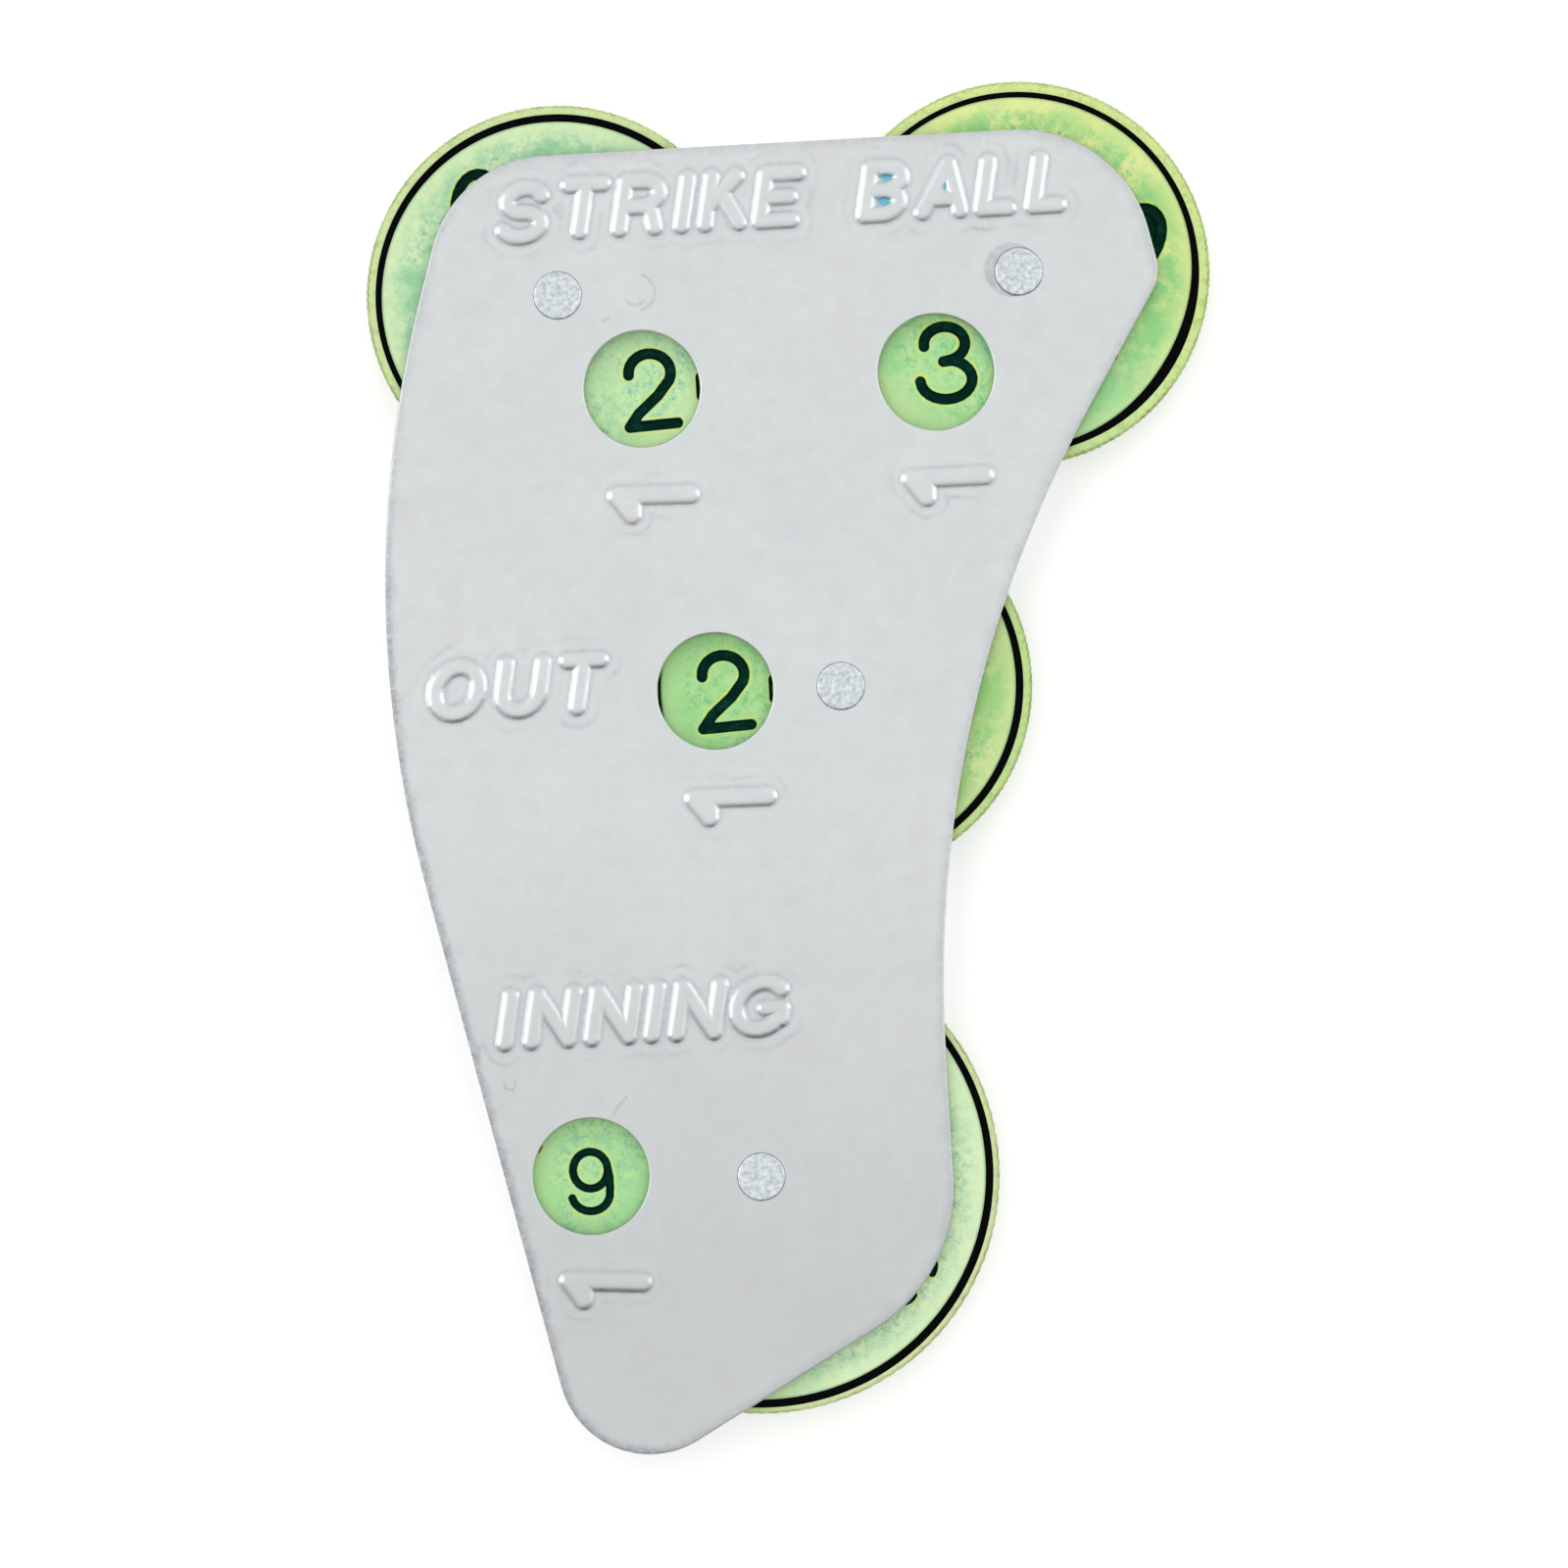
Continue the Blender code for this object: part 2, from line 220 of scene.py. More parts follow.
# Strokes of each letter and digit in a box one wide and one high
LETTERS = {
    "A": [[(0, 0), (0.5, 1), (1, 0)], [(0.16, 0.27), (0.84, 0.27)]],
    "B": [
        [(0, 0), (0, 1), *arc(0.5, 0.76, 0.47, 0.24, 90, -90), (0, 0.52)],
        [(0.4, 0.52), *arc(0.5, 0.26, 0.5, 0.26, 90, -90), (0, 0)],
    ],
    "E": [[(1, 1), (0, 1), (0, 0), (1, 0)], [(0, 0.5), (0.85, 0.5)]],
    "G": [[*arc(0.5, 0.5, 0.5, 0.5, 42, 320), (0.95, 0.2), (0.95, 0.44), (0.6, 0.44)]],
    "I": [[(0, 0), (0, 1)]],
    "K": [[(0, 0), (0, 1)], [(0.72, 1), (0.05, 0.4)], [(0.35, 0.64), (1, 0)]],
    "L": [[(0, 1), (0, 0), (1, 0)]],
    "N": [[(0, 0), (0, 1), (1, 0), (1, 1)]],
    "O": [arc(0.5, 0.5, 0.5, 0.5, 0, 360)],
    "R": [
        [(0, 0), (0, 1), *arc(0.5, 0.73, 0.44, 0.27, 90, -90), (0, 0.46)],
        [(0.5, 0.46), (0.72, 0.42), (0.82, 0.3), (0.96, 0)],
    ],
    "S": [[*arc(0.5, 0.72, 0.46, 0.26, 22, 262), *arc(0.5, 0.21, 0.5, 0.26, 82, -155)]],
    "T": [[(0, 1), (1, 1)], [(0.5, 1), (0.5, 0)]],
    "U": [[(0, 1), *arc(0.5, 0.38, 0.5, 0.38, 180, 360), (1, 1)]],
}
NINE = [
    arc(0.48, 0.69, 0.48, 0.31, 0, 360),
    [(0.95, 0.74), (1, 0.55), (1, 0.4), *arc(0.46, 0.3, 0.53, 0.3, 5, -168)],
]
DIGITS = (
    [arc(0.5, 0.5, 0.5, 0.5, 0, 360)],
    [[(0.2, 0.8), (0.55, 1), (0.55, 0)]],
    [[*arc(0.47, 0.735, 0.44, 0.265, 184, -25), (0.62, 0.42), (0.2, 0.18), (0.0, 0.0), (1, 0.03)]],
    [[*arc(0.46, 0.765, 0.43, 0.235, 186, -70), (0.42, 0.52), *arc(0.46, 0.27, 0.54, 0.27, 75, -178)]],
    [[(0.72, 0), (0.72, 1), (0, 0.3), (1, 0.3)]],
    [[(0.9, 1), (0.14, 1), (0.06, 0.54), *arc(0.48, 0.32, 0.5, 0.32, 128, -155)]],
    [[(1 - x, 1 - y) for x, y in stroke] for stroke in NINE],
    [[(0, 1), (1, 1), (0.62, 0.5), (0.36, 0)]],
    [arc(0.5, 0.76, 0.42, 0.24, 0, 360), arc(0.5, 0.26, 0.5, 0.26, 0, 360)],
    NINE,
)

# Dark strokes added inside a number: counter, number and its strokes in the number's box
EXTRA_DARK_STROKES = {("ball", 0): [arc(0.5, 0.5, 0.3, 0.36, 150, 280)]}

# Words: baseline, and each letter with its left side and width along the baseline
Word = namedtuple("Word", "baseline letters")
WORDS = (
    Word(34.65, (
        ("S", -17.95, 2.35), ("T", -14.1, 2.15), ("R", -10.5, 2.35),
        ("I", -6.55, 0.0), ("K", -5.05, 2.15), ("E", -1.6, 2.0),
    )),
    Word(34.65, (
        ("B", 5.04, 2.08), ("A", 8.72, 2.4), ("L", 12.47, 1.68), ("L", 15.72, 1.6),
    )),
    Word(4.6, (("O", -24.05, 2.75), ("U", -19.73, 2.35), ("T", -15.87, 2.07))),
    Word(-16.38, (
        ("I", -20.6, 0.0), ("N", -18.93, 2.33), ("N", -15.1, 2.35),
        ("I", -11.3, 0.0), ("N", -9.73, 2.38), ("G", -6.1, 3.05),
    )),
)
# Marks, a figure one lying on its side: its foot's far end x, y and its tilt in degrees
MARKS = ((-11.57, 17.8, -1.6), (7.08, 17.85, -0.5), (-7.77, -1.6, -1.0), (-17.35, -31.6, -4.5))
# Scrapes: a half-round press mark above the strike window, a nick and a scratch by the lowest
SCRAPES = [
    arc(-9.55, 30.6, 1.1, 1.15, 70, -80),
    arc(-9.7, 30.4, 0.65, 0.6, -40, -150),
    [(-11.85, 28.88), (-11.4, 29.08)],
    arc(-20.4, -19.05, 0.35, 0.3, 150, 390),
    [(-14.05, -21.4), (-13.6, -20.75), (-13.05, -20.2)],
]
# Blue flecks in the hollows of two letters: centre and half lengths
FLECKS = ((6.57, 37.01, 0.4, 0.2), (6.34, 35.5, 0.44, 0.26), (10.24, 36.2, 0.12, 0.22))


def axle(counter):
    low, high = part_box(counter.name + "_rivet")
    return np.array([(low.x + high.x) / 2, (low.y + high.y) / 2]) / MM


def along(centre, reach, degrees):
    angle = math.radians(degrees)
    return np.array([centre[0] + reach * math.cos(angle), centre[1] + reach * math.sin(angle)])


def window_centre(counter):
    return along(axle(counter), counter.reach, counter.direction)


def circle(radius, count, centre=(0.0, 0.0)):
    angles = np.arange(count) * math.tau / count
    return np.column_stack((centre[0] + radius * np.cos(angles), centre[1] + radius * np.sin(angles)))


def smooth(t):
    t = np.clip(t, 0.0, 1.0)
    return t * t * (3 - 2 * t)


def segments_of(strokes):
    """Start and end points of every straight piece of some strokes."""
    starts = [p for stroke in strokes for p in stroke[:-1]]
    ends = [p for stroke in strokes for p in stroke[1:]]
    return np.array(starts, float), np.array(ends, float)


def distance_to(points, strokes):
    """Distance from each point to the nearest stroke."""
    starts, ends = segments_of(strokes)
    way = ends - starts
    length2 = np.maximum((way ** 2).sum(1), 1e-12)
    nearest = np.empty(len(points))
    chunk = 4000
    for i in range(0, len(points), chunk):
        offset = points[i:i + chunk, None, :] - starts[None]
        share = np.clip((offset * way).sum(2) / length2, 0.0, 1.0)
        gap = offset - share[:, :, None] * way
        nearest[i:i + chunk] = np.sqrt((gap ** 2).sum(2).min(1))
    return nearest


def grid(low, high, step):
    """Points of a triangular grid that covers a box."""
    rows = np.arange(low[1], high[1], step * math.sqrt(0.75))
    columns = np.arange(low[0], high[0], step)
    x = columns[None, :] + 0.5 * step * (np.arange(len(rows)) % 2)[:, None]
    y = np.broadcast_to(rows[:, None], x.shape)
    return np.column_stack((x.ravel(), y.ravel()))


class Shell:
    """Points and faces of one closed piece; each point carries values for its material."""

    def __init__(self):
        self.points = np.zeros((0, 3))
        self.values = np.zeros((0, 3))
        self.faces = []
        self.slots = []

    def add(self, flat, height, values=PLAIN):
        """Adds points at a height, one for all or one each, and returns their numbers."""
        first = len(self.points)
        new = np.column_stack((flat, np.broadcast_to(height, len(flat))))
        self.points = np.vstack((self.points, new))
        self.values = np.vstack((self.values, np.broadcast_to(values, (len(flat), 3))))
        return list(range(first, len(self.points)))

    def add_faces(self, faces, slot=0):
        """Adds faces with one material slot for all or one each."""
        self.faces += faces
        self.slots += np.broadcast_to(slot, len(faces)).tolist()

    def bridge(self, loop_a, loop_b, slot=0):
        count = len(loop_a)
        faces = [(loop_a[i - 1], loop_a[i], loop_b[i], loop_b[i - 1]) for i in range(count)]
        self.add_faces(faces, slot)

    def fill(self, loops, loose=()):
        """Closes the first loop through all the loose points, leaving the other, round loops open."""
        numbers = np.array([n for loop in loops for n in loop] + list(loose))
        edges = []
        first = 0
        for loop in loops:
            count = len(loop)
            edges += [(first + i, first + (i + 1) % count) for i in range(count)]
            first += count
        flat = [Vector(p) for p in self.points[numbers, :2]]
        inside_loops = 1
        result = geometry.delaunay_2d_cdt(flat, edges, [], inside_loops, 1e-7)
        sources = np.array([source[0] for source in result[3]])
        faces = numbers[sources[np.array(result[2])]]
        middles = self.points[faces, :2].mean(1)
        kept = np.ones(len(faces), bool)
        for loop in loops[1:]:
            rim = self.points[loop, :2]
            centre = rim.mean(0)
            chord_reach = np.hypot(*(rim[0] - centre)) * math.cos(math.pi / len(loop))
            kept &= np.hypot(*(middles - centre).T) > chord_reach
        self.add_faces([tuple(face) for face in faces[kept].tolist()])

    def turn(self, profile, count, centre=(0.0, 0.0)):
        """Turns a profile of (radius, height) points and returns all its loops."""
        loops = [self.add(circle(r, count, centre), z) for r, z in profile]
        for loop_a, loop_b in zip(loops, loops[1:]):
            self.bridge(loop_a, loop_b)
        return loops


def make_piece(name, shell, materials, body, node):
    """Writes a shell as a mesh object that replaces a CAD node and rides on its body."""
    mesh = bpy.data.meshes.new(name)
    mesh.from_pydata((shell.points * MM).tolist(), [], shell.faces)
    mesh.polygons.foreach_set("material_index", shell.slots)
    values = mesh.attributes.new("marks", "FLOAT_VECTOR", "POINT")
    values.data.foreach_set("vector", shell.values.astype(np.float32).ravel())
    for material in materials:
        mesh.materials.append(material)
    bm = bmesh.new()
    bm.from_mesh(mesh)
    unused = [v for v in bm.verts if not v.link_faces]
    bmesh.ops.delete(bm, geom=unused, context="VERTS")
    bmesh.ops.recalc_face_normals(bm, faces=bm.faces)
    bm.to_mesh(mesh)
    bm.free()
    mesh.shade_smooth()
    mesh.set_sharp_from_angle(angle=math.radians(SHARP_ANGLE))
    piece = bpy.data.objects.new(name, mesh)
    bpy.context.scene.collection.objects.link(piece)
    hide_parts(node)
    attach(piece, body)
    return piece


def corner_arc(before, corner, after, radius, inset):
    """Arc that rounds one corner of the outline, moved inwards by inset."""
    before, corner, after = Vector(before), Vector(corner), Vector(after)
    back = (before - corner).normalized()
    ahead = (after - corner).normalized()
    half = back.angle(ahead) / 2
    centre = corner + (back + ahead).normalized() * radius / math.sin(half)
    start = corner + back * radius / math.tan(half) - centre
    end = corner + ahead * radius / math.tan(half) - centre
    first = math.atan2(start.y, start.x)
    sweep = math.remainder(math.atan2(end.y, end.x) - first, math.tau)
    reach = radius - inset if sweep > 0 else radius + inset
    steps = math.ceil(abs(sweep) / (2 * math.acos(1 - ARC_TOLERANCE / radius)))
    angles = [first + sweep * i / steps for i in range(steps + 1)]
    return [(centre.x + reach * math.cos(a), centre.y + reach * math.sin(a)) for a in angles]


def plate_outline(inset):
    """The plates' edge moved inwards by inset, with the same points at every inset."""
    count = len(PLATE_CORNERS)
    arcs = []
    for i, (x, y, radius) in enumerate(PLATE_CORNERS):
        before = PLATE_CORNERS[i - 1][:2]
        after = PLATE_CORNERS[(i + 1) % count][:2]
        arcs.append(corner_arc(before, (x, y), after, radius, inset))
    points = []
    for i, this in enumerate(arcs):
        end, start = Vector(this[-1]), Vector(arcs[(i + 1) % count][0])
        steps = max(1, round((start - end).length / OUTLINE_STEP))
        points += this
        points += [tuple(end.lerp(start, k / steps)) for k in range(1, steps)]
    return np.array(points)


def edge_drop(inset, roll=EDGE_ROLL):
    """How far a sheet's face is rounded down at a distance from its cut edge."""
    near = np.clip(1 - inset / EDGE_ROUND, 0.0, 1.0)
    rounded = EDGE_ROUND * (1 - np.sqrt(1 - near ** 2))
    return rounded + roll * np.clip(1 - inset / EDGE_ROLL_WIDTH, 0.0, 1.0) ** 2


def placed(stroke, left, bottom, width, height, slant=0.0):
    """A stroke of a unit box at its real place and size, slanted to the right."""
    return [(left + x * width + y * height * slant, bottom + y * height) for x, y in stroke]


def word_strokes(word):
    return [
        placed(stroke, left, word.baseline, width, CAP_HEIGHT, WORD_SLANT)
        for letter, left, width in word.letters
        for stroke in LETTERS[letter]
    ]


def mark_strokes(mark):
    """Stem and flag of one mark, and a short stroke that fills the corner between them."""
    x, y, tilt = mark
    turn = Matrix.Rotation(math.radians(tilt), 2)
    ends = [turn @ Vector(end) for end in (MARK_STEM, MARK_FLAG, MARK_WEB)]
    stem_end, flag_end, web_end = ((x + end.x, y + end.y) for end in ends)
    return [[(x, y), stem_end], [(x, y), flag_end, web_end]]


def wobble(points, scale, seed):
    """Smooth noise between about -1 and 1 at each point."""
    return np.array([noise.noise(Vector((x * scale, y * scale, seed))) for x, y in points])


def uneven(points, form, seed):
    """Smooth noise of a given height and scale at each point."""
    height, scale = form
    return height * wobble(points, scale, seed)


def fine_points(strokes, reach, step):
    """Points of a fine grid within reach of some strokes."""
    starts, ends = segments_of(strokes)
    points = grid(np.minimum(starts, ends).min(0) - reach, np.maximum(starts, ends).max(0) + reach, step)
    return points[distance_to(points, strokes) < reach]


def away_from(points, strokes, reach):
    return points[distance_to(points, strokes) > reach]


def ridge_points(strokes, foot):
    """Points round raised strokes, closer together on the ridge than on the swelling round it."""
    near = fine_points(strokes, foot + 0.1, RIDGE_GRID)
    far = fine_points(strokes, HALO_END, HALO_GRID)
    return np.vstack((near, away_from(far, strokes, foot + 0.16)))


def stamped_height(points, strokes, foot):
    """How high the sheet is stamped up at points near raised strokes, and the painted shade along the
    ridges' foot and the swelling's edge.
    """
    gap = distance_to(points, strokes)
    ridge = RIDGE_HEIGHT * np.clip(1 - (gap / foot) ** 2, 0.0, 1.0) ** RIDGE_FILLET
    edge = HALO_REACH + HALO_WAVE * wobble(points, 0.9, 4.0)
    halo = HALO_HEIGHT * (1 - smooth((gap - edge) / HALO_FALL))
    line = np.clip(1 - np.abs(gap - edge - 0.1) / HALO_LINE, 0.0, 1.0)
    patchy = np.clip(0.25 + 1.3 * wobble(points, 0.45, 12.0), 0.0, 1.0)
    foot_line = np.clip(1 - np.abs(gap - foot) / FOOT_LINE, 0.0, 1.0)
    return ridge + halo, HALO_SHADE * line * patchy + FOOT_SHADE * foot_line


def dish_middle():
    """Centre of the shallow dish, beside the ball counter's rivet."""
    return axle(COUNTERS[1]) + DISH_SHIFT


def dish_depth(points):
    reach = np.hypot(*(points - dish_middle()).T)
    return DISH_DEPTH * (1 - smooth((reach - DISH_RADIUS + DISH_EDGE) / DISH_EDGE))


def fleck_share(points):
    """One inside the blue flecks, falling to zero a little outside them."""
    share = np.zeros(len(points))
    for x, y, across, up in FLECKS:
        reach = np.hypot((points[:, 0] - x) / across, (points[:, 1] - y) / up)
        share = np.maximum(share, 1 - smooth((reach - 0.8) / 0.4))
    return share


def between(values, ends):
    """Zero up to the first end, one past the second, smooth between them."""
    return smooth((values - ends[0]) / (ends[1] - ends[0]))


def edge_wear_and_shade(points, inset):
    """Grey along the edge: wear all round, with painted shade added at the lower left, uneven further in.
    """
    reach = WEAR_AND_SHADE_REACH + 0.35 * wobble(points, 0.8, 9.0) + 0.2 * wobble(points, 2.6, 3.0)
    lower_left = between(points[:, 0], SHADE_LEFT) * between(points[:, 1], SHADE_BELOW)
    return (WEAR_SHARE + (1 - WEAR_SHARE) * lower_left) * (1 - smooth(inset / reach))


def front_values(points, inset, grime_and_shade):
    """What the front plate's points carry: no ink, wear and painted shade of all kinds, blue flecks."""
    grime_and_shade = grime_and_shade + edge_wear_and_shade(points, inset) + DISH_SHADE * dish_depth(points) / DISH_DEPTH
    return np.column_stack((np.ones(len(points)), grime_and_shade, fleck_share(points)))


def front_face(outline, holes):
    """Points of the front plate's outer face with their heights and the values they carry."""
    raised = [(word_strokes(word), WORD_FOOT) for word in WORDS]
    raised += [(mark_strokes(mark), MARK_FOOT) for mark in MARKS]
    ridges = [ridge_points(strokes, foot) for strokes, foot in raised]
    stamped = [stamped_height(points, *form) for points, form in zip(ridges, raised)]
    middle = tuple(dish_middle())
    dish = fine_points([[middle, middle]], DISH_RADIUS + 0.3, DISH_GRID)
    scraped = fine_points(SCRAPES, SCRAPE_REACH + 0.15, SCRAPE_GRID)
    flat = np.vstack((dish, scraped))
    field = away_from(grid(outline.min(0), outline.max(0), PLATE_GRID), SCRAPES, 0.5)
    for strokes, foot in raised:
        flat = away_from(flat, strokes, HALO_END)
        field = away_from(field, strokes, HALO_END)
    points = np.vstack((*ridges, flat, field))
    level = np.zeros((2, len(flat) + len(field)))
    lift, grime_and_shade = np.hstack((*[np.array(pair) for pair in stamped], level))
    scrape = 1 - smooth(distance_to(points, SCRAPES) / SCRAPE_REACH)
    lift -= SCRAPE_DEPTH * scrape
    grime_and_shade += SCRAPE_SHADE * scrape
    lift -= dish_depth(points)
    inset = distance_to(points, [list(outline) + [outline[0]]])
    clear = inset > 0.05
    clear[-len(field):] &= inset[-len(field):] > EDGE_INSETS[-1] + 0.3
    for centre, radius in holes:
        clear &= np.hypot(*(points - centre).T) > radius + HOLE_INSETS[-1] + 0.1
    points, lift, inset, grime_and_shade = points[clear], lift[clear], inset[clear], grime_and_shade[clear]
    return points, FRONT_OUTER + lift - edge_drop(inset), front_values(points, inset, grime_and_shade)


def plate_edge(shell, inner, outer):
    """Cut edge and rounded border of a plate; returns its inner loop and the outer face's loops."""
    way = 1 if outer > inner else -1
    inner_loop = shell.add(plate_outline(0.04), inner)
    low_loop = shell.add(plate_outline(0.0), inner + way * 0.05)
    loops = []
    for inset in EDGE_INSETS:
        points = plate_outline(inset)
        values = front_values(points, np.full(len(points), inset), 0.0)
        loops.append(shell.add(points, outer - way * edge_drop(inset), values))
    shell.bridge(inner_loop, low_loop)
    shell.bridge(low_loop, loops[0])
    return inner_loop, loops


def hole_wall(shell, centre, count, radius_in, radius_out, rounding):
    """Wall of a round hole in the front plate; returns its inner loop and its outer rim's loops."""
    inner_loop = shell.add(circle(radius_in, count, centre), FRONT_INNER)
    loops = []
    for inset in HOLE_INSETS:
        points = circle(radius_out + inset, count, centre)
        drop = rounding * edge_drop(np.array(inset), 0.0)
        dish = dish_depth(points)
        values = np.column_stack((np.ones(count), DISH_SHADE * dish / DISH_DEPTH, np.zeros(count)))
        loops.append(shell.add(points, FRONT_OUTER - drop - dish, values))
    shell.bridge(inner_loop, loops[0])
    return inner_loop, loops


def front_plate():
    shell = Shell()
    inner_loop, loops = plate_edge(shell, FRONT_INNER, FRONT_OUTER)
    inner_loops, outer_loops = [inner_loop], [loops[0]]
    loose = [n for loop in loops[1:] for n in loop]
    rivet_in, rivet_out = RIVET_RADIUS + RIVET_FIT, RIVET_END_RADIUS + RIVET_END_FIT
    holes = []
    for counter in COUNTERS:
        walls = (
            (window_centre(counter), WINDOW_POINTS, WINDOW_RADIUS, WINDOW_RADIUS, 1.0),
            (axle(counter), RIVET_POINTS, rivet_in, rivet_out, RIVET_HOLE_ROUND),
        )
        for centre, count, radius_in, radius_out, rounding in walls:
            wall = hole_wall(shell, centre, count, radius_in, radius_out, rounding)
            inner_loops.append(wall[0])
            outer_loops.append(wall[1][0])
            loose += [n for loop in wall[1][1:] for n in loop]
            holes.append((centre, radius_out))
    loose += shell.add(*front_face(plate_outline(0.0), holes))
    shell.fill(outer_loops, loose)
    shell.fill(inner_loops)
    return shell


def back_plate():
    shell = Shell()
    inner_loop, loops = plate_edge(shell, BACK_INNER, 0.0)
    inner_loops, outer_loops = [inner_loop], [loops[0]]
    loose = [n for loop in loops[1:] for n in loop]
    for counter in COUNTERS:
        centre = axle(counter)
        hole = [
            (RIVET_RADIUS + RIVET_FIT, BACK_INNER),
            (RIVET_RADIUS + RIVET_FIT, BACK_INNER - RIVET_HOLE_LAND),
            (RIVET_HEAD_RADIUS + RIVET_FIT, 0.0),
        ]
        hole_loops = shell.turn(hole, RIVET_POINTS, centre)
        inner_loops.append(hole_loops[0])
        outer_loops.append(hole_loops[-1])
        dimple = along(centre, CLICK_REACH, counter.direction)
        reaches = np.linspace(DIMPLE_RADIUS, 0.1, 7)
        hollow = DIMPLE_DEPTH * (1 - smooth(reaches / DIMPLE_RADIUS))
        for reach, height in zip(reaches, hollow):
            loose += shell.add(circle(reach, DIMPLE_POINTS, dimple), height)
    shell.fill(outer_loops, loose)
    shell.fill(inner_loops)
    return shell


def digit_points(counter, number, centre):
    """Fine points round one engraved number and their distance from its strokes' edge."""
    width, height = counter.digit
    middle = window_centre(counter) - centre + counter.offset + counter.moved.get(number, (0.0, 0.0))
    left, bottom = middle[0] - width / 2, middle[1] - height / 2
    drawn = DIGITS[number] + EXTRA_DARK_STROKES.get((counter.name, number), [])
    strokes = [placed(stroke, left, bottom, width, height) for stroke in drawn]
    points = fine_points(strokes, counter.stroke / 2 + INK_MARGIN, INK_GRID)
    edge = distance_to(points, strokes) - counter.stroke / 2
    turn = math.radians((number - counter.shown) * 360 / counter.numbers)
    cos, sin = math.cos(turn), math.sin(turn)
    return points @ np.array([[cos, sin], [-sin, cos]]), edge


# Short dark ticks: painted shade at the window's edge
def tick_points(counter, centre):
    points = fine_points(counter.ticks, counter.stroke / 2 + INK_MARGIN, INK_GRID)
    return points - centre, distance_to(points, counter.ticks) - counter.stroke / 2


def knurled_rim(shell, counter, centre, radius, bottom, top):
    """The dial's rim with its ridges; returns the loops of its lower and upper end."""
    ridges = counter.numbers * round(math.tau * radius / counter.knurl / counter.numbers)
    count = KNURL_POINTS * ridges
    valley = 0.5 - 0.5 * np.cos(np.arange(count) * math.tau / KNURL_POINTS)
    bevel = DIAL_EDGE_BEVEL
    # Each row: inset, height, knurl depth, and grime with painted shade, strongest on the side wall
    profile = (
        (bevel, bottom, 0.0, 0.0), (0.08, bottom + 0.07, 0.3, 0.3), (0.0, bottom + bevel, 1.0, 0.6),
        (0.0, top - bevel, 1.0, 1.0), (0.03, top - 0.13, 0.8, 0.9), (0.1, top - 0.05, 0.4, 0.6),
        (bevel, top, 0.0, 0.0),
    )
    loops = []
    for inset, height, depth, grime_and_shade in profile:
        reach = radius - inset - depth * KNURL_DEPTH * valley
        values = np.column_stack((np.ones(count), grime_and_shade * (0.5 + 0.5 * valley), np.ones(count)))
        loops.append(shell.add(centre + circle(1.0, count) * reach[:, None], height, values))
    for loop_a, loop_b in zip(loops, loops[1:]):
        shell.bridge(loop_a, loop_b)
    return loops[0], loops[-1]


def ring_groove(shell, counter, centre, radius, top, rim_loop):
    """The painted ring's groove; returns the loop where the face begins and its reach all round."""
    ring = counter.ring
    count = len(rim_loop)
    unit = circle(1.0, count)
    degrees = np.arange(count) * 360 / count
    away = np.abs(np.remainder(degrees - counter.direction + 180, 360) - 180)
    depth = smooth((away - ring.gap) / RING_FADE) if ring.gap else np.ones(count)
    outer = np.full(count, radius - ring.inset)
    thick = np.cos(np.radians(degrees - ring.thick_side))
    run = ring.run * np.maximum(thick, 0.0) ** RING_RUN_SHARPNESS
    inner = outer - ring.width - ring.uneven * thick - run
    edges = (
        (outer + 0.05, 0.0, 0.9), (outer, 0.2, 0.0), (outer - 0.03, 1.0, 0.0),
        (inner + 0.03, 1.0, 0.0), (inner, 0.2, 0.0), (inner - 0.04, 0.0, -1.0), (inner - 0.16, 0.0, 0.0),
    )
    last = rim_loop
    painted = np.where(np.roll(depth, 1) + depth > 1.0, 1, 0)
    for number, (reach, share, tint) in enumerate(edges):
        reach = reach + (1 - depth) * GAP_PUSH * (radius - DIAL_EDGE_BEVEL - 0.05 - reach)
        values = np.column_stack((np.ones(count), np.zeros(count), tint * np.maximum(depth, tint > 0)))
        loop = shell.add(centre + unit * reach[:, None], top - RING_DEPTH * share * depth, values)
        shell.bridge(last, loop, painted if 2 <= number <= 4 else 0)
        last = loop
    return last, reach


def pocket_points(shell, counter, centre, bottom):
    """Points of the click pockets under the dial, one for each number."""
    numbers = []
    for number in range(counter.numbers):
        direction = counter.direction + (number - counter.shown) * 360 / counter.numbers
        pocket = along(centre, CLICK_REACH, direction)
        for reach in np.linspace(POCKET_RADIUS, 0.12, 5):
            depth = POCKET_DEPTH * (1 - (reach / POCKET_RADIUS) ** 2)
            numbers += shell.add(circle(reach, POCKET_POINTS, pocket), bottom + depth)
    return numbers


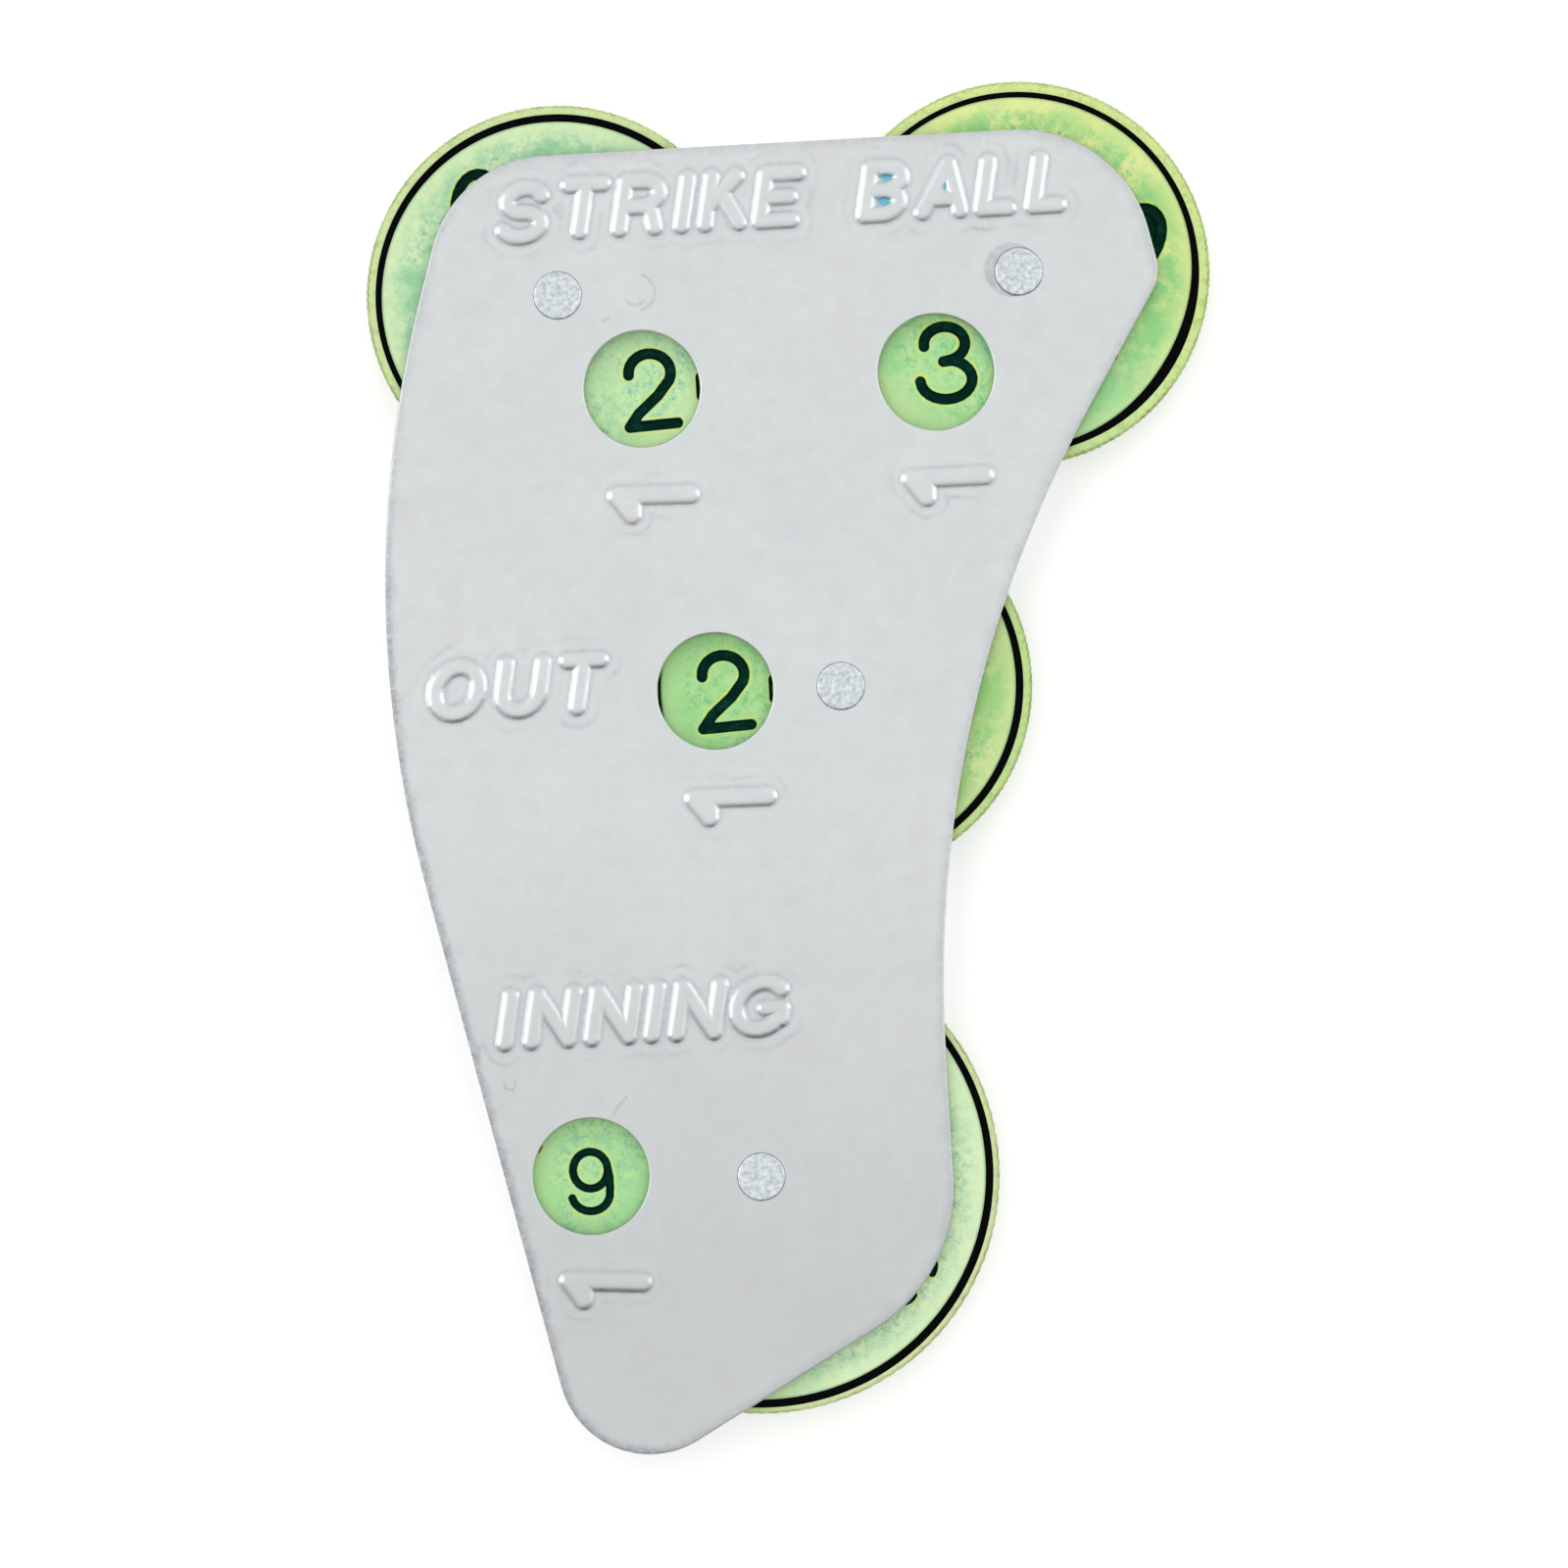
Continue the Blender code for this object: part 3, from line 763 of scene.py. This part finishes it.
def dial(counter, body):
    """Numbered disc with a knurled rim, a painted ring and engraved numbers."""
    name = counter.name + "_dial"
    low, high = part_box(name)
    centre = axle(counter)
    radius = (high.x - low.x) / MM / 2
    bottom, top = low.z / MM, high.z / MM
    shell = Shell()
    lower_loop, upper_loop = knurled_rim(shell, counter, centre, radius, bottom, top)
    face_loop, face_reach = ring_groove(shell, counter, centre, radius, top, upper_loop)
    hub = [
        (RECESS_RADIUS, top), (RECESS_RADIUS, top - RECESS_DEPTH),
        (BORE_RADIUS, top - RECESS_DEPTH), (BORE_RADIUS, bottom),
    ]
    hub_loops = shell.turn(hub, HUB_POINTS, centre)
    inked = [digit_points(counter, number, centre) for number in range(counter.numbers)]
    if counter.ticks:
        inked.append(tick_points(counter, centre))
    loose = []
    loop_degrees = np.arange(len(face_loop)) * 360 / len(face_loop)
    for points, edge in inked:
        reach = np.hypot(*points.T)
        degrees = np.degrees(np.arctan2(points[:, 1], points[:, 0]))
        face_end = np.interp(degrees, loop_degrees, face_reach, period=360)
        kept = (reach < face_end - 0.05) & (reach > RECESS_RADIUS + 0.05)
        points, edge = points[kept], edge[kept]
        depth = INK_DEPTH * (1 - smooth((edge + INK_SLOPE) / INK_SLOPE))
        values = np.column_stack((edge, np.zeros(len(edge)), np.zeros(len(edge))))
        loose += shell.add(points + centre, top - depth, values)
    shell.fill([face_loop, hub_loops[0]], loose)
    shell.fill([lower_loop, hub_loops[-1]], pocket_points(shell, counter, centre, bottom))
    materials = [dial_plastic(counter), ring_paint]
    return make_piece(counter.name + "_numbered_dial", shell, materials, body, name)


def rivet(counter):
    """Countersunk head, shank and a flattened end with a raised rim and hammer marks."""
    shell = Shell()
    centre = axle(counter)
    end = RIVET_END_RADIUS
    high = FRONT_OUTER + RIVET_END_PROUD
    profile = [
        (RIVET_HEAD_RADIUS - 0.06, 0.0), (RIVET_HEAD_RADIUS, 0.05),
        (RIVET_RADIUS, BACK_INNER - RIVET_HOLE_LAND), (RIVET_RADIUS, FRONT_INNER),
        (end, FRONT_OUTER - 0.1), (end, high - 0.09), (end - 0.03, high - 0.04),
        (end - 0.08, high - 0.01), (end - 0.13, high), (end - 0.17, high - 0.005),
    ]
    loops = shell.turn(profile, RIVET_POINTS, centre)
    seed = COUNTERS.index(counter) * 7.3
    loose = []
    for reach in np.arange(end - 0.2, 0.0, -RIVET_END_GRID):
        points = circle(reach, max(6, round(math.tau * reach / RIVET_END_GRID)), centre)
        dish = RIVET_END_DISH * smooth((end - 0.17 - reach) / 0.14)
        hammered = uneven(points, HAMMER_MARKS, seed) + uneven(points, HAMMER_PITS, seed + 2)
        loose += shell.add(points, high - dish + hammered * smooth((end - 0.2 - reach) / 0.1))
    shell.fill([loops[-1]], loose)
    head_ring = []
    for reach in np.arange(RIVET_HEAD_RADIUS - RIVET_HEAD_GRID, 0.0, -RIVET_HEAD_GRID):
        points = circle(reach, max(6, round(math.tau * reach / RIVET_HEAD_GRID)), centre)
        head_ring += shell.add(points, HEAD_LIFT + uneven(points, HEAD_MARKS, seed + 5))
    shell.fill([loops[0]], head_ring)
    name = counter.name + "_rivet"
    return make_piece(counter.name + "_hammered_rivet", shell, [rivet_metal], "case", name)


def linear(red, green, blue):
    """A colour of the 0 to 255 display scale as the shader's linear values."""
    def channel(value):
        share = value / 255
        return share / 12.92 if share <= 0.04045 else ((share + 0.055) / 1.055) ** 2.4
    return (channel(red), channel(green), channel(blue), 1.0)


WHITE = linear(255, 255, 255)
BLACK = linear(0, 0, 0)


class Tree:
    """A material's nodes, added and linked in one call each."""

    def __init__(self, name):
        self.material = bpy.data.materials.new(name)
        self.material.use_nodes = True
        self.nodes = self.material.node_tree.nodes
        self.links = self.material.node_tree.links
        self.shader = self.nodes["Principled BSDF"]

    def add(self, kind, settings=None, **inputs):
        node = self.nodes.new(kind)
        for key, value in (settings or {}).items():
            setattr(node, key, value)
        for key, value in inputs.items():
            self.put(node.inputs[key.replace("_", " ")], value)
        return node

    def put(self, socket, value):
        if isinstance(value, bpy.types.NodeSocket):
            self.links.new(value, socket)
        else:
            socket.default_value = value

    def place(self, scale=(1.0, 1.0, 1.0), shift=(0.0, 0.0, 0.0)):
        """The piece's own coordinates in millimetres, stretched and shifted."""
        coordinates = self.add("ShaderNodeTexCoord").outputs["Object"]
        scale = [s / MM for s in scale]
        return self.add("ShaderNodeMapping", Vector=coordinates, Scale=scale, Location=shift).outputs[0]

    def noise(self, place, scale, detail=3.0, roughness=0.5):
        return self.add(
            "ShaderNodeTexNoise", Vector=place, Scale=scale, Detail=detail, Roughness=roughness
        ).outputs["Fac"]

    def span(self, value, low, high, to_low=0.0, to_high=1.0):
        """A value mapped from one range to another, without going past it."""
        node = self.add(
            "ShaderNodeMapRange", Value=value,
            From_Min=low, From_Max=high, To_Min=to_low, To_Max=to_high,
        )
        return node.outputs["Result"]

    def blend(self, share, colour_a, colour_b):
        node = self.add("ShaderNodeMix", {"data_type": "RGBA"})
        self.put(node.inputs["Factor"], share)
        self.put(node.inputs[6], colour_a)
        self.put(node.inputs[7], colour_b)
        return node.outputs[2]

    def math(self, kind, a, b):
        node = self.add("ShaderNodeMath", {"operation": kind})
        self.put(node.inputs[0], a)
        self.put(node.inputs[1], b)
        return node.outputs[0]

    def vector_math(self, kind, a, b):
        node = self.add("ShaderNodeVectorMath", {"operation": kind})
        self.put(node.inputs[0], a)
        self.put(node.inputs[1], b)
        return node.outputs["Value"]

    def marks(self):
        """The three values that each point carries for its material."""
        vector = self.add("ShaderNodeAttribute", {"attribute_name": "marks"}).outputs["Vector"]
        return self.add("ShaderNodeSeparateXYZ", Vector=vector).outputs

    def bump(self, height, distance):
        node = self.add("ShaderNodeBump", Height=height, Distance=distance * MM, Strength=1.0)
        return node.outputs["Normal"]

    def shine(self, strength):
        """Makes the stage's surface give white light, without gloss."""
        self.shader.inputs["Emission Color"].default_value = WHITE
        self.put(self.shader.inputs["Emission Strength"], strength)
        self.shader.inputs["Specular IOR Level"].default_value = 0.0

    def finish(self, colour, roughness, metallic, normal=None):
        self.put(self.shader.inputs["Base Color"], colour)
        self.put(self.shader.inputs["Roughness"], roughness)
        self.put(self.shader.inputs["Metallic"], metallic)
        if normal is not None:
            self.put(self.shader.inputs["Normal"], normal)
        return self.material


# Tints, wear and painted shade of the sheet metal, on the 0 to 255 display scale
PINKISH = (210, 207, 210)
GREENISH = (203, 211, 210)
PAINTED_LOWER_SHADE = (150, 151, 152)
SCRATCH = (226, 228, 230)
WORN_AND_SHADED_GREY = (150, 152, 158)
BLUE_FLECK = (112, 184, 208)

# Stains, grime and painted shade of the dials, and their painted numbers, on the same scale
RIM_STAIN = (160, 184, 96)
# Grime and painted shade in the knurl's valleys and along the dial's outer edge
RIM_GRIME_AND_SHADE = (112, 124, 66)
RING_BORDER = (20, 130, 96)
INK_FRINGE = (232, 240, 96)
INK_DARK = (0, 36, 28)
INK_THIN = (4, 58, 45)


def sheet_metal(name, light, dark, seed):
    """Satin sheet aluminium: cloudy, faintly tinted, with painted shade towards its bottom, and grey for
    edge wear and for painted shade in creases, dents, the dish and at the lower left edge.
    """
    tree = Tree(name)
    place = tree.place(shift=(seed, 0.0, 0.0))
    clouds = tree.noise(place, 0.16, 3.0)
    patches = tree.noise(place, 0.9, 4.0, 0.6)
    tints = tree.noise(tree.place(shift=(0.0, seed, 40.0)), 0.42, 3.0, 0.6)
    scratched = tree.noise(tree.place((0.35, 5.0, 1.0), (0.0, seed, 0.0)), 1.0, 2.0)
    share = tree.math("ADD", tree.math("MULTIPLY", clouds, 0.5), tree.math("MULTIPLY", patches, 0.5))
    colour = tree.blend(tree.span(share, 0.38, 0.62), linear(*dark), linear(*light))
    colour = tree.blend(tree.span(tints, 0.52, 0.66, 0.0, 0.4), colour, linear(*PINKISH))
    colour = tree.blend(tree.span(tints, 0.34, 0.48, 0.4, 0.0), colour, linear(*GREENISH))
    height = tree.add("ShaderNodeSeparateXYZ", Vector=tree.place()).outputs["Y"]
    # Painted shade: the sheet darker towards its bottom
    colour = tree.blend(tree.span(height, -34.0, -2.0, 0.25, 0.0), colour, linear(*PAINTED_LOWER_SHADE))
    line = tree.span(scratched, 0.72, 0.76)
    colour = tree.blend(tree.math("MULTIPLY", line, 0.15), colour, linear(*SCRATCH))
    wear_and_shade, fleck = tree.marks()[1:3]
    speckle = tree.noise(place, 3.0, 4.0, 0.7)
    wear_and_shade = tree.math("MULTIPLY", wear_and_shade, tree.span(speckle, 0.35, 0.6, 0.35, 0.9))
    # Grey for edge wear, and painted shade along the ridges' feet and the swelling's edge, in the scrapes
    # and the dish, and at the lower left edge
    colour = tree.blend(wear_and_shade, colour, linear(*WORN_AND_SHADED_GREY))
    colour = tree.blend(fleck, colour, linear(*BLUE_FLECK))
    rough = tree.math("ADD", tree.span(patches, 0.35, 0.65, 0.31, 0.38), tree.math("MULTIPLY", wear_and_shade, 0.3))
    grain = tree.noise(place, 7.0, 3.0, 0.7)
    return tree.finish(colour, rough, 0.92, tree.bump(grain, 0.006))


def dial_plastic(counter):
    """Mottled green plastic with painted numbers, a painted tone of bounce light and shade on its side
    between the plates, and painted shade by the plate's edge.
    """
    tree = Tree(counter.name + "_dial_plastic")
    seed = 11.0 * COUNTERS.index(counter)
    pale, middle, deep, rim, painted_window_tone = (linear(*colour) for colour in DIAL_COLOURS[counter.name])
    place = tree.place(shift=(seed, seed, 0.0))
    patches = tree.noise(place, 0.22, 3.0, 0.6)
    blotches = tree.noise(place, 0.7, 4.0, 0.6)
    streaks = tree.noise(place, 1.6, 5.0, 0.7)
    speckle = tree.noise(place, 4.5, 4.0, 0.8)
    distance, valley, tint = tree.marks()
    low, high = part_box(counter.name + "_dial")
    ring_reach = (high.x - low.x) / MM / 2 - 1.1
    reach = tree.vector_math("DISTANCE", tree.place(), (*axle(counter), high.z / MM))
    # Painted bounce light and shade: the side that lies between the plates, which the windows show,
    # blends towards its own tone
    outwards = along((0.0, 0.0), -1.0, counter.direction)
    side = tree.vector_math("DOT_PRODUCT", tree.place(), (*outwards, 0.0))
    middle_side = float(axle(counter) @ outwards)
    under = tree.span(side, middle_side - 3.0, middle_side + 5.0, 0.65, 0.0)
    cloudy = tree.math("ADD", tree.math("MULTIPLY", blotches, 0.5), tree.math("MULTIPLY", patches, 0.5))
    colour = tree.blend(tree.span(cloudy, 0.43, 0.57), middle, pale)
    colour = tree.blend(tree.span(reach, ring_reach - 1.4, ring_reach - 0.2, 0.0, 0.7), colour, pale)
    colour = tree.blend(under, colour, painted_window_tone)
    # Painted shade: the deep green speckles gather further in, towards the plate's edge, as well as by
    # chance
    plate_edge_shade_zone = tree.math(
        "MULTIPLY", tree.span(patches, 0.4, 0.56, 0.4, 1.0),
        tree.span(reach, ring_reach - 1.5, ring_reach - 0.4, 1.0, 0.2),
    )
    share = tree.math("MULTIPLY", tree.span(streaks, 0.42, 0.6), tree.span(speckle, 0.4, 0.56))
    colour = tree.blend(tree.math("MULTIPLY", share, plate_edge_shade_zone), colour, deep)
    worn = tree.math("MULTIPLY", tree.span(tint, 0.0, 1.0), tree.span(streaks, 0.35, 0.6, 0.9, 0.5))
    colour = tree.blend(worn, colour, rim)
    stains = tree.math("MULTIPLY", tree.span(tint, 0.0, 1.0), tree.span(streaks, 0.5, 0.62, 0.0, 0.45))
    colour = tree.blend(stains, colour, linear(*RIM_STAIN))
    # Grime and painted shade in the knurl's valleys and along the dial's outer edge
    grime_and_shade = tree.math("MULTIPLY", valley, tree.span(blotches, 0.38, 0.56, 0.25, 1.0))
    colour = tree.blend(grime_and_shade, colour, linear(*RIM_GRIME_AND_SHADE))
    colour = tree.blend(tree.span(tint, -1.0, 0.0, 0.4, 0.0), colour, linear(*RING_BORDER))
    near_ink = tree.span(distance, 0.02, 0.28, 0.8, 0.0)
    fringe = tree.math("MULTIPLY", near_ink, tree.span(streaks, 0.44, 0.58))
    colour = tree.blend(fringe, colour, linear(*INK_FRINGE))
    ink = tree.span(distance, -0.02, 0.02, 1.0, 0.0)
    ink_colour = tree.blend(tree.span(streaks, 0.5, 0.62), linear(*INK_DARK), linear(*INK_THIN))
    colour = tree.blend(ink, colour, ink_colour)
    tree.shader.inputs["Specular IOR Level"].default_value = 0.04
    rough = tree.span(speckle, 0.3, 0.7, 0.42, 0.55)
    normal = tree.bump(speckle, 0.01)
    return tree.finish(colour, rough, 0.0, normal)


def paint(name, colour):
    tree = Tree(name)
    place = tree.place()
    grain = tree.noise(place, 4.0, 4.0, 0.7)
    shade = tree.blend(tree.span(grain, 0.4, 0.7), linear(*colour), linear(*(c + 6 for c in colour)))
    tree.shader.inputs["Specular IOR Level"].default_value = 0.03
    return tree.finish(shade, tree.span(grain, 0.3, 0.7, 0.45, 0.6), 0.0, tree.bump(grain, 0.01))


def worn_metal(name, light, dark, rough, scale):
    tree = Tree(name)
    place = tree.place()
    spots = tree.noise(place, scale, 4.0, 0.65)
    colour = tree.blend(tree.span(spots, 0.35, 0.65), linear(*dark), linear(*light))
    normal = tree.bump(spots, 0.01)
    return tree.finish(colour, tree.span(spots, 0.3, 0.7, rough - 0.05, rough + 0.1), 0.95, normal)


# Each dial's colours: pale and middle tones of its face, the deep tone of its speckles, its rim,
# and a painted tone of the windows' green bounce light and shade for its side between the plates
DIAL_COLOURS = {
    "strike": ((214, 236, 186), (160, 211, 165), (128, 196, 170), (206, 222, 152), (200, 236, 170)),
    "ball": ((226, 236, 158), (154, 214, 132), (112, 206, 138), (208, 228, 150), (174, 226, 166)),
    "out": ((208, 228, 160), (162, 214, 132), (124, 196, 128), (194, 222, 144), (162, 222, 152)),
    "inning": ((222, 244, 196), (196, 232, 188), (136, 194, 162), (212, 218, 152), (158, 222, 136)),
}
plate_metal = sheet_metal("plate_aluminium", (215, 219, 220), (210, 215, 216), 0.0)
back_metal = sheet_metal("back_plate_aluminium", (213, 217, 218), (207, 212, 213), 31.0)
rivet_metal = worn_metal("hammered_aluminium", (231, 237, 241), (182, 190, 195), 0.3, 3.2)
sleeve_metal = worn_metal("turned_steel", (196, 198, 200), (160, 163, 166), 0.32, 3.0)
spring_metal = worn_metal("spring_steel", (166, 168, 172), (124, 126, 130), 0.3, 3.0)
ring_paint = paint("black_ring_paint", (2, 2, 3))


def dress_model():
    front = make_piece("stamped_front_plate", front_plate(), [plate_metal], "case", "front_plate")
    back = make_piece("countersunk_back_plate", back_plate(), [back_metal], "case", "back_plate")
    for counter in COUNTERS:
        dial(counter, counter.name)
        rivet(counter)
        for kind, metal in (("_spacer_sleeve", sleeve_metal), ("_wave_washer", spring_metal)):
            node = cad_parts[counter.name + kind]
            node.data.materials.clear()
            node.data.materials.append(metal)


# Camera: straight above the plate, turned so that the counter leans as in the photo
CAMERA_POINT = (-2.03, -0.97)
CAMERA_HEIGHT = 400.0
CAMERA_TURN = -3.2
VIEW_WIDTH = 99.2
SENSOR_WIDTH = 36.0

# Floor and world: white where a camera, glossy or transmission ray meets them
FLOOR_HEIGHT = -0.05
FLOOR_SIZE = 6000.0
FLOOR_COLOUR = (0.8, 0.8, 0.8, 1.0)
FLOOR_GLOW = 0.4
WORLD_STRENGTH = 0.14
MATT = 0.9

# Low screens round the front, which only reflections show: the dark one draws the letters' dark
# feet and the grey ones shade their round parts. Each has its first and last direction, in
# degrees, and how bright it is.
SCREEN_RADIUS = 1000.0
SCREEN_HEIGHT = 540.0
SCREEN_STEPS = 12
SCREENS = ((198, 248, 0.5), (248, 302, 0.03), (302, 345, 0.5))

# Soft rectangular lamps that face the object: direction and height in degrees, distance, size,
# brightness, and whether reflections show the lamp
Lamp = namedtuple("Lamp", "name azimuth elevation distance size brightness mirrored")
LAMPS = (
    Lamp("overhead_softbox", 95, 70, 1000, (1500, 1300), 1.24, False),
    Lamp("left_softbox", 170, 25, 1000, (730, 420), 1.6, True),
    Lamp("right_softbox", 9, 19, 1000, (850, 300), 1.5, True),
    Lamp("back_softbox", 90, 25, 1100, (1300, 960), 0.92, False),
    Lamp("front_softbox", -90, 50, 1000, (2400, 930), 0.84, False),
)


def add_camera():
    camera = bpy.data.cameras.new("camera")
    camera.sensor_width = SENSOR_WIDTH
    camera.lens = SENSOR_WIDTH * CAMERA_HEIGHT / VIEW_WIDTH
    camera.clip_start = 0.01
    camera.clip_end = 20.0
    holder = bpy.data.objects.new("camera", camera)
    height = FRONT_OUTER + CAMERA_HEIGHT
    holder.location = Vector((*CAMERA_POINT, height)) * MM
    holder.rotation_euler = (0.0, 0.0, math.radians(CAMERA_TURN))
    bpy.context.scene.collection.objects.link(holder)
    bpy.context.scene.camera = holder


def seen_directly(nodes, links):
    """One where a camera, glossy or transmission ray meets the surface, else zero."""
    path = nodes.new("ShaderNodeLightPath")
    total = path.outputs["Is Camera Ray"]
    for output in ("Is Glossy Ray", "Is Transmission Ray"):
        highest = nodes.new("ShaderNodeMath")
        highest.operation = "MAXIMUM"
        links.new(total, highest.inputs[0])
        links.new(path.outputs[output], highest.inputs[1])
        total = highest.outputs[0]
    return total


def add_floor():
    """Pale floor that shows white where it is lit and keeps the object's shadow."""
    mesh = bpy.data.meshes.new("floor")
    half = FLOOR_SIZE / 2 * MM
    height = FLOOR_HEIGHT * MM
    corners = [(-half, -half, height), (half, -half, height), (half, half, height), (-half, half, height)]
    mesh.from_pydata(corners, [], [(0, 1, 2, 3)])
    floor = bpy.data.objects.new("floor", mesh)
    bpy.context.scene.collection.objects.link(floor)
    tree = Tree("pale_floor")
    seen = seen_directly(tree.nodes, tree.links)
    tree.shine(tree.math("MULTIPLY", seen, FLOOR_GLOW))
    mesh.materials.append(tree.finish(FLOOR_COLOUR, MATT, 0.0))


def add_world():
    world = bpy.data.worlds.new("studio")
    world.use_nodes = True
    tree = world.node_tree
    background = tree.nodes["Background"]
    background.inputs["Color"].default_value = WHITE
    strength = tree.nodes.new("ShaderNodeMapRange")
    strength.inputs["To Min"].default_value = WORLD_STRENGTH
    strength.inputs["To Max"].default_value = 1.0
    tree.links.new(seen_directly(tree.nodes, tree.links), strength.inputs["Value"])
    tree.links.new(strength.outputs["Result"], background.inputs["Strength"])
    bpy.context.scene.world = world


def add_lamp(lamp):
    """A lamp that stays out of the picture, and of reflections too unless it is mirrored."""
    light = bpy.data.lights.new(lamp.name, "AREA")
    light.shape = "RECTANGLE"
    light.size, light.size_y = (s * MM for s in lamp.size)
    light.energy = lamp.brightness * math.pi * light.size * light.size_y
    holder = bpy.data.objects.new(lamp.name, light)
    around, up = math.radians(lamp.azimuth), math.radians(lamp.elevation)
    way = Vector((math.cos(around) * math.cos(up), math.sin(around) * math.cos(up), math.sin(up)))
    holder.location = way * lamp.distance * MM
    holder.rotation_mode = "QUATERNION"
    holder.rotation_quaternion = way.to_track_quat("Z", "Y")
    holder.visible_camera = False
    holder.visible_glossy = lamp.mirrored
    bpy.context.scene.collection.objects.link(holder)


def add_screen(first, last, brightness):
    """A curved upright screen that only reflections show."""
    points = []
    for k in range(SCREEN_STEPS + 1):
        turn = math.radians(first + (last - first) * k / SCREEN_STEPS)
        for height in (0.0, SCREEN_HEIGHT):
            points.append((SCREEN_RADIUS * math.cos(turn), SCREEN_RADIUS * math.sin(turn), height))
    mesh = bpy.data.meshes.new("screen")
    faces = [(2 * k, 2 * k + 1, 2 * k + 3, 2 * k + 2) for k in range(SCREEN_STEPS)]
    mesh.from_pydata([[c * MM for c in p] for p in points], [], faces)
    screen = bpy.data.objects.new("screen", mesh)
    bpy.context.scene.collection.objects.link(screen)
    tree = Tree("screen")
    tree.shine(brightness)
    mesh.materials.append(tree.finish(BLACK, MATT, 0.0))
    for kind in ("camera", "diffuse", "shadow", "transmission"):
        setattr(screen, "visible_" + kind, False)


def add_studio():
    add_floor()
    add_world()
    for screen in SCREENS:
        add_screen(*screen)
    for lamp in LAMPS:
        add_lamp(lamp)
    bpy.context.scene.view_settings.view_transform = "Standard"


dress_model()
add_camera()
add_studio()
